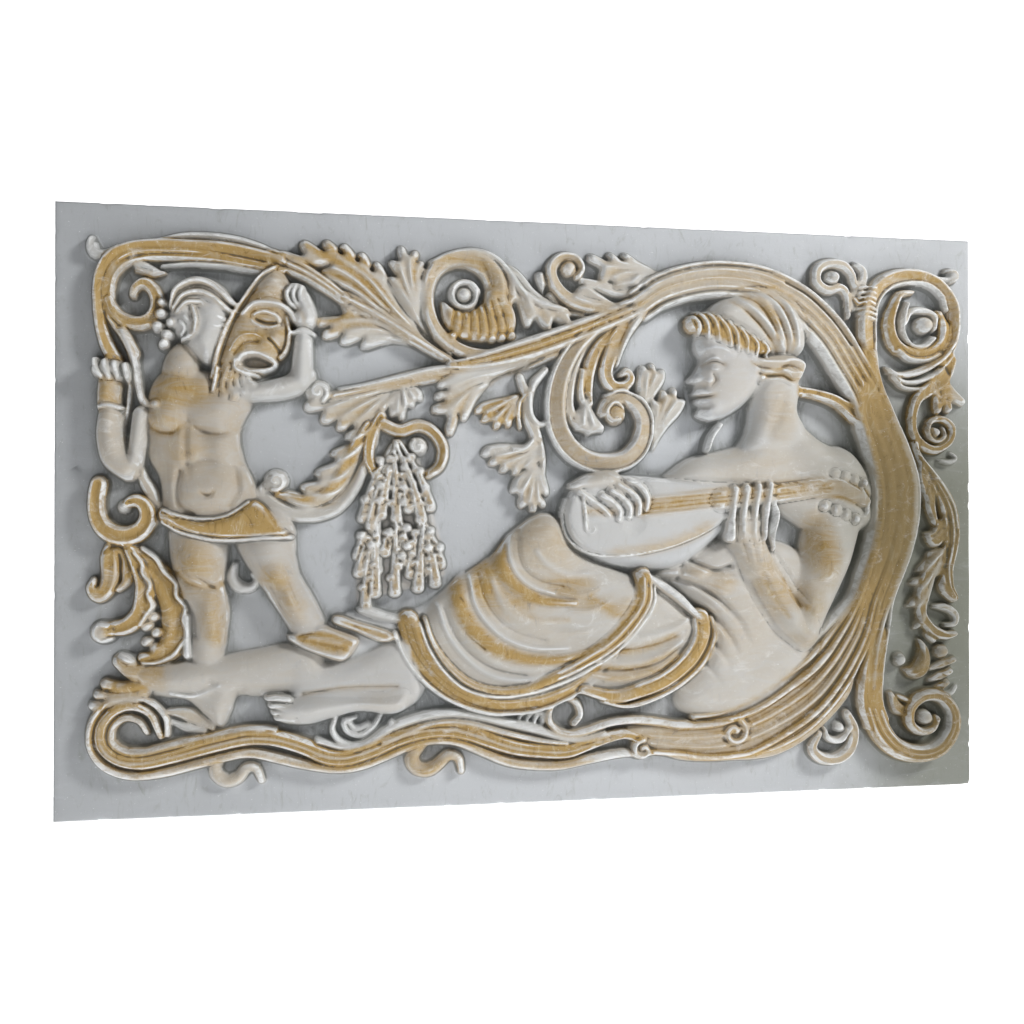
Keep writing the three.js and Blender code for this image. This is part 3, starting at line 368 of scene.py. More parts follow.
def childLegs():
    # The far leg lies along the ground behind, the child's own legs stand on it
    limb = dict(soft=5.0, gold=0.2, pale=0.4)
    plate([[115, 190], [150, 196], [200, 202], [245, 209], [290, 216], [325, 205], [330, 165], [300, 154],
        [250, 149], [222, 150], [214, 132], [205, 113], [192, 113], [180, 126], [160, 146], [130, 151],
        [108, 156], [96, 168]], 24, 26, gold=0.15, pale=0.7)
    swell(150, 174, 52, 24, 5, turn=8)
    swell(203, 138, 20, 30, 4, turn=10)
    strand([[200, 165], [185, 158], [165, 152], [140, 156]], [10, 8, 6], 27, soft=4, pale=0.9)
    crease([[186, 168], [196, 156], [215, 150], [225, 158]], 15.3, -3.4)
    strand([[132, 172], [110, 178], [92, 186], [78, 196]], [36, 34, 27, 18], 27, soft=3, gold=0.6,
        pale=0.7)
    mound(88, 199, 14, 5.5, 29, turn=-28)
    crease([[112, 190], [102, 180], [104, 164]], 8, -2.5, gold=0.5)
    toes = (
        ([[112, 168], [84, 164], [64, 168]], [24, 18, 17], 22, 0.8),
        ([[108, 158], [76, 154], [55, 156]], [20, 15, 15], 21, 0.5),
        ([[100, 150], [68, 145], [49, 143]], [15, 13, 14], 20, 0.25),
    )
    for line, wide, high, g in toes:
        strand(line, wide, high, gold=g, pale=0.6, cut=5)
        crease([[line[2][0] + 8, line[2][1] + 6], [line[2][0] + 10, line[2][1]],
            [line[2][0] + 8, line[2][1] - 5]], 4, -2.5)
    strand([[138, 134], [160, 130], [190, 114]], [8, 21, 11], 15, "petal", gold=0.3)
    strand([[140, 122], [160, 114], [182, 110]], [5, 13, 7], 13, "petal")
    # standing legs
    strand([[172, 352], [172, 318], [176, 285], [184, 255], [184, 228], [182, 204]],
        [76, 70, 58, 52, 46, 44], [34, 34, 34, 34, 32, 25], **limb)
    swell(168, 312, 36, 46, 7, turn=14, gold=0.6)
    swell(190, 256, 20, 46, 6, turn=-4, gold=0.55)
    swell(200, 288, 12, 20, 3)
    crease([[158, 268], [168, 250], [170, 226]], 12, -6)
    crease([[166, 304], [184, 292], [200, 280]], 9, [-2, -7, -2], gold=0.4)
    crease([[204, 262], [203, 244], [207, 236]], 8, [-2, -5, -1])
    strand([[160, 250], [160, 225], [160, 203]], [12, 12, 14], 26, soft=4, pale=0.6)
    swell(196, 226, 14, 20, 5, gold=0.6)
    strand([[252, 352], [262, 318], [275, 290], [292, 262], [306, 236]], [78, 62, 50, 48, 46],
        [35, 35, 35, 34, 29], **limb)
    swell(252, 328, 38, 30, 6, turn=-20)
    swell(266, 300, 24, 20, 6, gold=0.6)
    swell(286, 268, 17, 36, 6, turn=28, gold=0.55)
    crease([[260, 286], [274, 258], [288, 238]], 11, [-3, -7, -2], gold=0.3)
    crease([[282, 296], [290, 276], [302, 252]], 10, [-2, -5, -1])
    crease([[254, 300], [262, 284], [272, 276]], 13.6, -2.5)
    crease([[146, 306], [162, 292], [184, 286], [202, 290]], 12, -5, gold=0.6)
    strand([[217, 314], [214, 299], [222, 287], [237, 286], [244, 295], [238, 302]],
        [9, 15, 17, 14, 10, 6], 15, pale=0.9)


def childBody():
    # Torso in muscle and belly, and both arms
    flesh = dict(gold=0.3, pale=0.35)
    plate([[106, 500], [110, 470], [112, 446], [124, 424], [128, 396], [128, 372], [200, 352], [262, 362],
        [250, 392], [240, 420], [228, 446], [224, 482], [240, 520], [225, 546], [150, 560], [120, 545]],
        30, 34, **flesh)
    mound(150, 555, 24, 40, 31, turn=-10, soft=6, **flesh)
    swell(184, 406, 50, 44, 11)
    swell(160, 455, 30, 42, 6, gold=0.45)
    swell(204, 462, 30, 38, 7)
    swell(130, 498, 34, 26, 9, turn=12, gold=0.5)
    swell(192, 504, 42, 28, 9)
    swell(138, 408, 16, 40, 3)
    swell(235, 414, 16, 36, 4, turn=12)
    swell(150, 528, 50, 26, 4, turn=-6, gold=0.75)
    crease([[110, 492], [122, 480], [142, 477], [154, 488]], 12, [-1, -6, -6, -2], gold=0.6)
    crease([[162, 492], [176, 480], [200, 476], [222, 484]], 12, [-2, -6, -6, -1], gold=0.4)
    crease([[160, 500], [158, 470], [160, 440], [164, 420]], 13, [-2, -4, -4, -1])
    crease([[152, 430], [148, 408], [152, 388], [166, 378]], 11.9, -5.5, gold=0.35)
    crease([[218, 436], [221, 408], [212, 386]], 11.9, -4.5, gold=0.35)
    crease([[160, 378], [182, 373], [206, 378]], 13.6, -2.5)
    crease([[160, 438], [185, 444], [212, 436]], 12, -3.5, gold=0.3)
    crease([[176, 405], [185, 400], [193, 405]], 8, [-2, -7, -2], gold=0.5)
    crease([[127, 552], [142, 548], [156, 546]], 8.5, -2.5, gold=0.6)
    # raised arm at the left with its fist
    strand([[104, 500], [100, 470], [95, 440]], [26, 26, 24], 32, soft=3, gold=0.1, pale=0.85)
    strand([[88, 432], [72, 448], [66, 475], [66, 505]], [30, 38, 37, 31], 36, gold=0.25, pale=0.8)
    strand([[66, 500], [64, 520], [66, 545]], [30, 30, 32], 35, soft=2, gold=0.6, pale=0.75)
    strand([[52, 509], [66, 511], [80, 508]], [5, 6, 5], 38, pale=0.9)
    crease([[50, 503], [66, 504], [80, 502]], 8.5, -3.4)
    mound(66, 556, 25, 15, 37, turn=-4, gold=0.1)
    for k in range(4):
        strand([[48 + k * 12, 568 - k * 2], [50 + k * 12, 556 - k], [57 + k * 10, 547 - k]], [9, 11, 8],
            40, cut=3)
    # the other arm reaches across behind the mask
    strand([[215, 530], [250, 532], [285, 540], [300, 552]], [30, 26, 30, 34], 31, soft=4, gold=0.05,
        pale=0.8)
    strand([[298, 548], [299, 575], [300, 606]], [30, 27, 25], 34, soft=3, pale=0.9)
    strand([[284, 606], [300, 609], [314, 606]], [5, 8, 5], 37, cut=3)
    crease([[284, 600], [300, 602], [314, 600]], 6.8, -2.5)


def loincloth():
    # A plain wrap with a rolled upper edge and four soft folds
    plate([[126, 384], [150, 376], [180, 372], [210, 378], [236, 395], [249, 393], [262, 380], [276, 362],
        [288, 346], [250, 345], [210, 342], [180, 346], [150, 354], [128, 366]], 39, 10, gold=1.0,
        pale=0.9)
    for k in range(4):
        strand([[132, 377 - k * 4], [175, 366 - k * 4.4], [222, 372 - k * 7], [266, 364 - k * 4]],
            [3, 6, 7, 4], 41 - k * 0.5, "roof", soft=2, gold=0.9, cut=0)
    strand([[128, 383], [150, 375], [180, 371], [208, 376], [234, 393]], 4, 42, cut=3)
    strand([[127, 367], [150, 355], [180, 347], [210, 344], [250, 347], [286, 348]], [4, 5, 5], 42)
    strand([[134, 373], [160, 358], [190, 352], [230, 351], [278, 354]], [3, 4, 4], 41, cut=2)
    crease([[222, 386], [232, 376], [240, 362]], 5, -3)


def childHead():
    # Turned towards the mask, on plain proportions: the eye line at half the head's height
    chin, crown, temple = 563.0, 674.0, 176.0
    tall = crown - chin
    plate([[136, 640], [150, 662], [178, 672], [204, 662], [214, 640], [212, 610], [204, 585], [192, 566],
        [182, 562], [168, 572], [152, 590], [136, 610]], 35, 26, gold=0.05, pale=0.6)
    swell(temple + 4, chin + tall * 0.28, 26, 30, 4)
    swell(temple + 9, chin + tall * 0.09, 14, 12, 3)
    swell(temple + 12, chin + tall * 0.62, 26, 16, 3)
    strand([[temple + 12, chin + tall * 0.50], [temple + 20, chin + tall * 0.54],
        [temple + 28, chin + tall * 0.51]], 4, 37.5, soft=1, pale=0.9, cut=0)
    strand([[temple + 13, chin + tall * 0.45], [temple + 21, chin + tall * 0.435],
        [temple + 28, chin + tall * 0.46]], 3, 37, soft=1, pale=0.9, cut=0)
    strand([[156, 622], [164, 612], [160, 598], [152, 594]], [7, 9, 6], 37, pale=0.9)
    strand([[150, 616], [156, 608], [152, 600]], 5, 38, pale=0.9)
    # hair in three heavy locks from back to brow, a lock at the temple and curls behind the ear
    locks = (
        ([[138, 636], [146, 656], [168, 667], [188, 662], [203, 650], [216, 640]], [8, 17, 20, 19, 16, 8]),
        ([[142, 632], [154, 648], [174, 653], [190, 647], [202, 637], [214, 630]], [7, 14, 16, 15, 12, 6]),
        ([[146, 628], [158, 639], [174, 640], [186, 632]], [6, 12, 12, 6]),
        ([[166, 634], [170, 618], [168, 604], [160, 596]], [10, 14, 12, 6]),
    )
    for line, wide in locks:
        strand(line, wide, [36, 40, 41, 40, 39, 36], gold=0.3)
        line = np.array(line, float)
        side = np.array([-0.35, 1.0]) if len(line) > 3 and line[0][0] < 160 else np.array([1.0, 0.2])
        for shift, deep in ((-0.26, -3.2), (0.0, 2.4), (0.26, -3.2)):
            crease(line[:-1] + side * shift * max(wide), 4, deep, gold=0.35 if deep < 0 else None, at=36)
    curls = (
        (128, 640, 7), (127, 626, 8.5), (139, 615, 8.5), (123, 610, 8.5), (134, 600, 9), (130, 589, 8),
    )
    for u, v, r in curls:
        mound(u, v, r, r * 0.9, 35, gold=0.1)
        crease([[u - r * 0.5, v - r * 0.3], [u, v + r * 0.3], [u + r * 0.5, v - r * 0.1]], 3.5, -3,
            gold=0.4)


def maskFace():
    # A theatre mask in profile with an open mouth and a beard in locks
    plate([[268, 690], [250, 678], [229, 648], [211, 617], [198, 582], [190, 552], [188, 532], [214, 530],
        [240, 543], [262, 556], [277, 575], [287, 602], [290, 635], [285, 668]], 31, 22, gold=0.55,
        pale=0.9)
    strand([[265, 687], [246, 675], [226, 646], [209, 616], [196, 580], [189, 548]], [7, 8, 8, 9, 8], 33,
        gold=0.65, cut=3)
    swell(262, 662, 30, 28, 5, turn=-30, gold=0.3)
    for k in range(3):
        crease([[238 + k * 2, 654 - k * 5], [258, 660 - k * 6], [284, 652 - k * 5]], 5, -2.5, gold=0.8)
    strand([[226, 628], [240, 641], [262, 642], [280, 636], [290, 622]], [8, 11, 12, 9], 37, soft=2,
        gold=0.1)
    mound(256, 622, 17, 9, 31, turn=-16, base=22)
    strand([[238, 626], [252, 631], [268, 626], [272, 618]], [3, 5, 4], 36, cut=3)
    strand([[236, 620], [246, 613], [260, 611], [270, 614]], [3, 5, 4], 35, cut=3)
    crease([[243, 620], [254, 616], [266, 616]], 6, -9, gold=0.9)
    swell(268, 596, 18, 18, 8, turn=-20)
    swell(252, 590, 10, 9, 4)
    crease([[258, 596], [266, 588], [272, 580]], 5, -8, gold=1.0)
    strand([[280, 625], [283, 605], [280, 585], [272, 574]], [5, 7, 6], 33, gold=0.8, cut=2)
    strand([[211, 582], [222, 598], [240, 602], [254, 594]], [4, 8, 6], 35, soft=2, gold=0.95)
    crease([[216, 576], [228, 590], [246, 592]], 7, -4, gold=1.0)
    # open mouth
    plate([[216, 568], [224, 578], [240, 582], [258, 576], [270, 566], [264, 557], [248, 552],
        [228, 554]], 34, 4, cut=0)
    win, depthIn, u, v = insideOf([[222, 566], [230, 575], [244, 577], [258, 572], [268, 566], [262, 559],
        [246, 556], [230, 558]], 30)
    field[win] = np.where(depthIn > 0, np.minimum(field[win], 13 + 14 * dome(np.clip(depthIn / 4, 0, 1))),
        field[win])
    goldMap[win] = np.where(depthIn > 0, 0.35, goldMap[win])
    paleMap[win] = np.where(depthIn > 0, 0.5, paleMap[win])
    strand([[217, 570], [217, 560], [228, 554], [246, 550]], [6, 7, 6, 3], 35, cut=3)
    # beard
    for k, (u, v) in enumerate(((192, 528), (203, 521), (216, 523), (228, 530), (238, 540))):
        strand([[206 + k * 6, 560 - k * 1], [199 + k * 8, 545 - k], [u, v]], [11, 16, 11], 33, "petal",
            gold=0.6 if k < 3 else 0.1)
    strand([[196, 560], [193, 545], [190, 530]], [6, 8, 5], 34, gold=0.5)


def maskHand():
    # Seen from the back: three bent fingers over the mask's brow and a broad hand running into the wrist
    plate([[292, 669], [303, 664], [313, 646], [319, 626], [314, 612], [300, 608], [289, 614], [286, 630],
        [290, 644], [288, 658]], 38, 12, gold=0.03, pale=0.8, soft=4)
    fingers = (
        [[287, 668], [280, 656], [283, 645], [291, 638]],
        [[293, 668], [288, 655], [291, 645], [297, 640]],
        [[299, 666], [296, 654], [298, 646], [303, 642]],
    )
    for k, line in enumerate(fingers):
        strand(line, [8, 9, 8, 6], [38, 41, 41, 38], pale=0.95, cut=5)
    crease([[306, 660], [311, 644], [312, 628]], 10, -2)
    crease([[292, 634], [300, 626], [302, 614]], 9, -2.5, gold=0.3)


def middleFoliage():
    # Upper spiral with its bell and the leaf that sweeps to the right
    blade([515, 715], [[[542, 708], [556, 690], [560, 668], [564, 650]], [[544, 708], [566, 684],
        [576, 652], [588, 624]], [[546, 708], [580, 676], [600, 646], [614, 620]], [[550, 708],
        [586, 670], [616, 642], [642, 624]], [[552, 710], [590, 670], [622, 652], [662, 640]]],
        [10, 16, 20, 24, 20], 24, gold=[0.6, 0.3, 0.4, 0.3, 0.1])
    strand([[462, 702], [490, 714], [520, 718], [546, 709], [564, 690], [580, 668], [606, 652],
        [640, 646]], [8, 12, 12, 12, 8], 26, gold=0.1, cut=3)
    plate([[475, 652], [475, 628], [484, 611], [502, 602], [528, 599], [550, 606], [568, 611], [573, 632],
        [564, 655], [548, 673], [532, 668], [526, 650], [508, 640], [490, 644]], 27, 12, gold=0.6,
        pale=0.8, soft=4)
    for k in range(7):
        crease([[494 + k * 9, 644 + k * 2], [490 + k * 11.4, 624], [487 + k * 12.6, 605]], 6, -4, gold=1.0)
        mound(490 + k * 12.6, 608 + 2.5 * np.sin(k * 1.2), 8, 7, 25, soft=2, gold=0.75, cut=2)
    strand([[640, 606], [605, 594], [575, 587], [535, 583], [500, 590], [472, 612], [458, 642],
        [458, 672], [472, 697], [498, 708], [524, 703], [542, 686], [547, 664], [545, 645]],
        [20, 20, 20, 19, 19, 19, 20, 22, 26, 31, 26], 26, "lip", gold=0.5)
    for k in range(4):
        crease([[466 - k * 1, 690 + k * 5], [498, 699 + k * 5], [526, 695 + k * 4], [541, 674 + k * 3]],
            5, -2.2, gold=0.6)
    strand([[486, 582], [462, 604], [447, 634], [446, 664], [452, 690]], [8, 16, 17, 15, 8], 23, "petal",
        gold=0.2)
    scroll(505, 660, 18, 20, 1.1, 11, 26, "round", tail=0.8)
    mound(505, 661, 11, 11, 26, gold=0.2)
    # Leaves that fan out from the fork in the branch
    blade([486, 574], [[[440, 592], [400, 600], [376, 592]], [[430, 598], [385, 606], [350, 597]],
        [[430, 600], [372, 618], [328, 603]], [[430, 604], [375, 628], [319, 618]], [[432, 608],
        [385, 634], [350, 640]]], [10, 18, 26, 22], 22, gold=[0.1, 0.15, 0.6, 0.7, 0.3])
    blade([486, 576], [[[422, 614], [374, 648], [328, 684]], [[422, 618], [368, 664], [272, 702]],
        [[424, 622], [372, 676], [300, 716]], [[430, 626], [384, 680], [328, 718]], [[434, 626],
        [396, 678], [350, 714]], [[440, 622], [408, 668], [372, 704]], [[446, 616], [416, 662],
        [391, 692]]], [10, 18, 28, 20], 24, gold=[0.15, 0.75, 0.85, 0.8, 0.6, 0.7, 0.3])
    strand([[352, 652], [395, 630], [440, 603], [488, 574]], [20, 20, 16, 12], 26, "flutes", gold=0.45,
        n=2)
    blade([462, 602], [[[440, 632], [424, 652], [411, 678]], [[444, 632], [424, 668], [412, 699]],
        [[446, 632], [431, 676], [423, 717]], [[448, 632], [440, 676], [441, 712]], [[450, 632],
        [447, 668], [448, 699]], [[452, 630], [449, 658], [452, 678]]], [8, 14, 20, 16], 24,
        gold=[0.2, 0.5, 0.3, 0.75, 0.4, 0.1])
    # Lower branch to the ball, and the lobes under it
    blade([440, 550], [[[405, 538], [360, 528], [306, 512]], [[405, 532], [368, 518], [326, 496]],
        [[406, 530], [380, 512], [346, 487]], [[410, 530], [392, 510], [368, 485]]], [12, 20, 28, 24], 21,
        gold=[0.15, 0.4, 0.55, 0.3])
    blade([424, 550], [[[418, 530], [412, 503]], [[422, 528], [424, 498]], [[430, 534], [437, 515]],
        [[434, 538], [448, 524]]], [10, 17, 15], 19, gold=0.15)
    strand([[620, 592], [570, 574], [520, 563], [480, 560], [440, 552], [405, 543], [370, 534],
        [334, 526]], [24, 26, 23, 22, 22, 20, 18, 13], 23, "flutes", gold=0.5, n=2)
    strand([[560, 578], [510, 570], [465, 564], [420, 552], [380, 542], [345, 536]], [6, 9, 9, 8, 5], 25,
        cut=2)
    mound(319, 532, 17, 16, 24, gold=0.05)
    scroll(319, 532, 13, 300, 1.1, 7, 27, "round", cut=3)
    # Leaf towards the right of the fork
    blade([607, 579], [[[556, 564], [512, 556], [474, 542]], [[552, 558], [510, 546], [470, 527]],
        [[552, 554], [508, 538], [466, 510]], [[552, 554], [512, 532], [484, 482]], [[560, 556],
        [526, 540], [502, 502]]], [8, 18, 24, 20], 22, gold=[0.0, 0.2, 0.5, 0.6, 0.3])
    blade([582, 536], [[[556, 524], [520, 510]], [[558, 518], [529, 499]], [[562, 514], [545, 490]],
        [[568, 514], [561, 492]], [[574, 516], [575, 502]]], [8, 18, 17], 21,
        gold=[0.8, 1.0, 1.0, 0.9, 0.6])
    strand([[612, 566], [596, 548], [590, 528], [592, 506], [604, 494], [614, 500]],
        [10, 13, 13, 12, 11, 6], 22, gold=0.1)
    strand([[596, 540], [580, 528], [575, 508], [578, 490]], [4, 6, 6], 21, gold=0.8)
    # Curved leaf at the lower left, with a ball at its end
    strand([[267, 420], [252, 404], [270, 385], [305, 377], [338, 386], [360, 414], [372, 448],
        [386, 482], [398, 502]], [14, 24, 22, 22, 26, 30, 28, 16], 21, "petal", gold=0.1)
    blade([398, 500], [[[378, 486], [356, 474]], [[376, 472], [338, 452]], [[374, 460], [348, 432],
        [318, 428]], [[372, 450], [342, 410], [300, 410]], [[368, 440], [332, 392], [276, 402]]],
        [10, 20, 22, 18], 23, gold=[0.2, 0.4, 0.3, 0.5, 0.4])
    strand([[268, 402], [300, 394], [330, 402], [350, 428], [366, 462], [382, 490]], [8, 15, 19, 20, 12],
        24, "lip", gold=0.9, cut=3)
    mound(267, 419, 16, 15, 24)
    scroll(267, 419, 12, 250, 1.1, 7, 26, "round", gold=0.3, cut=3)


def hangingLeaf():
    # Stem with two side leaves and a leaf at its foot
    strand([[578, 556], [586, 530], [588, 505], [598, 482], [603, 455], [602, 425]],
        [11, 13, 16, 18, 20, 20], 22, "petal", gold=0.2)
    blade([604, 474], [[[590, 466], [566, 462], [530, 456]], [[590, 460], [568, 452], [539, 444]],
        [[592, 456], [575, 446], [553, 435]], [[594, 454], [582, 444], [570, 430]], [[598, 452],
        [592, 444], [587, 433]]], [9, 17, 22, 19], 22, gold=[0.1, 0.5, 0.4, 0.35, 0.2])
    blade([600, 444], [[[586, 428], [568, 408]], [[590, 418], [579, 388]], [[596, 416], [594, 382]],
        [[602, 418], [607, 388]], [[606, 424], [611, 404]]], [10, 21, 20], 23,
        gold=[0.2, 0.45, 0.35, 0.3, 0.1])
    strand([[568, 462], [582, 462], [594, 474]], [8, 10, 5], 22, cut=3)


def flowerCluster():
    # A ring carries trumpet flowers in tiers; each trumpet is ribbed and ends in a round cup
    strand([[398, 502], [386, 478], [382, 452], [388, 434], [398, 424]], [12, 14, 14, 10], 23, "channel",
        gold=0.9)
    strand([[401, 492], [422, 484], [446, 491], [466, 482], [477, 462], [473, 440], [458, 428]],
        [16, 17, 16, 16, 12], 24, "lip", gold=0.75)
    mound(445, 464, 13, 13, 20)
    scroll(445, 464, 10, 120, 1.0, 5, 23, "round", cut=3)
    plate([[415, 476], [400, 455], [386, 425], [378, 390], [370, 340], [367, 295], [370, 262], [392, 272],
        [440, 284], [476, 297], [478, 325], [466, 370], [460, 410], [447, 445], [430, 466]], 8, 8,
        gold=0.2, pale=0)
    stems = (
        ([394, 372], [[370, 326], [371, 304], [393, 308], [379, 264], [391, 278]], 20),
        ([420, 372], [[404, 330], [420, 312], [432, 318], [416, 279]], 20),
        ([450, 370], [[436, 302], [462, 334], [474, 314], [452, 304], [468, 290], [446, 284]], 20),
        ([418, 472], [[376, 374], [386, 364], [399, 378], [418, 374], [434, 386], [461, 388], [450, 372]],
         24),
    )
    for root, ends, high in stems:
        for k, end in enumerate(ends):
            a, r = np.array(end, float), np.array(root, float) + [3.0 * (k % 3 - 1), 0]
            middle = (a + r) / 2 + [(a[0] - r[0]) * 0.12, 0]
            strand([r, middle, a], [4, 7, 13], high + 0.5 * k, gold=0.6, cut=6)
            for off in (-1, 1):
                strand([r, middle + [off * 2.5, 0], a + [off * 5, 2]], [2.5, 3.5, 4.5],
                    high + 3 + 0.5 * k, cut=2)
            mound(a[0], a[1] - 2, 8.5, 7, high + 4 + 0.5 * k, gold=0.1)
            pit(a[0], a[1] - 3, 4.5, 8, gold=0.6)
            for t in (0.25, 0.45, 0.65, 0.82):
                cup = r + (a - r) * t + [7.5 * np.sin(k + 9 * t), 0]
                mound(cup[0], cup[1], 6, 5.5, high + 6, gold=0.15, cut=5)
                pit(cup[0], cup[1] - 1, 3.5, 10, gold=0.5)
    beads = (
        (397, 446), (397, 414), (396, 395), (428, 438), (427, 412), (427, 393), (448, 433), (455, 412),
        (373, 350), (409, 354), (432, 360), (386, 338), (432, 336), (459, 334), (474, 334), (425, 324),
        (378, 396), (462, 356),
    )
    for u, v in beads:
        mound(u, v, 6.5, 6, 30)
        pit(u, v - 0.5, 3, 5)


def frontLeg():
    # Cloth and the far shin behind, then the front foot
    plate([[282, 222], [318, 236], [345, 249], [375, 258], [415, 254], [455, 264], [505, 305], [480, 240],
        [440, 180], [415, 214], [350, 190], [300, 208]], 15, 14, pale=0.35)
    plate([[285, 205], [330, 192], [372, 200], [416, 226], [446, 240], [460, 170], [432, 128], [372, 126],
        [300, 138], [280, 150]], 24.5, 26, gold=0.08, pale=0.45, soft=6)
    plate([[280, 224], [300, 231], [322, 239], [346, 232], [372, 218], [352, 191], [322, 198],
        [296, 210]], 33, 12, gold=0.45, pale=0.6, soft=4)
    crease([[288, 216], [318, 204], [352, 196]], 6, 3, gold=0.1)
    crease([[300, 227], [330, 226], [360, 214]], 8, -3, gold=0.8)
    crease([[284, 224], [304, 229], [326, 235]], 6, 3, gold=0.0)
    crease([[296, 222], [324, 214], [354, 208]], 12, -4, gold=1.0)
    plate([[336, 246], [346, 250], [372, 242], [404, 232], [424, 222], [400, 214], [366, 228],
        [340, 238]], 29, 7, gold=0.5, pale=0.9)
    crease([[342, 245], [370, 234], [404, 222]], 8, -2.5, gold=0.95)
    plate([[366, 258], [380, 262], [404, 254], [436, 246], [430, 238], [396, 242], [372, 251]], 21, 6,
        pale=0.9)
    plate([[256, 140], [266, 149], [300, 153], [345, 154], [400, 153], [430, 156], [436, 140], [430, 127],
        [410, 121], [372, 126], [340, 119], [305, 111], [270, 116]], 33, 22, gold=0.05, pale=0.65)
    swell(400, 138, 40, 18, 4, gold=0.15)
    swell(310, 134, 40, 16, 4)
    for k, (v, length) in enumerate(((146, 30), (137, 30), (128, 30), (121, 28))):
        strand([[284 + k * 2, v - 2], [268 + k * 3, v], [256 + k * 4, v]], [9, 10, 9], 35 - k * 2,
            pale=0.95, gold=0.1)
    crease([[300, 150], [350, 158], [420, 158]], 6, -4, gold=0.5)


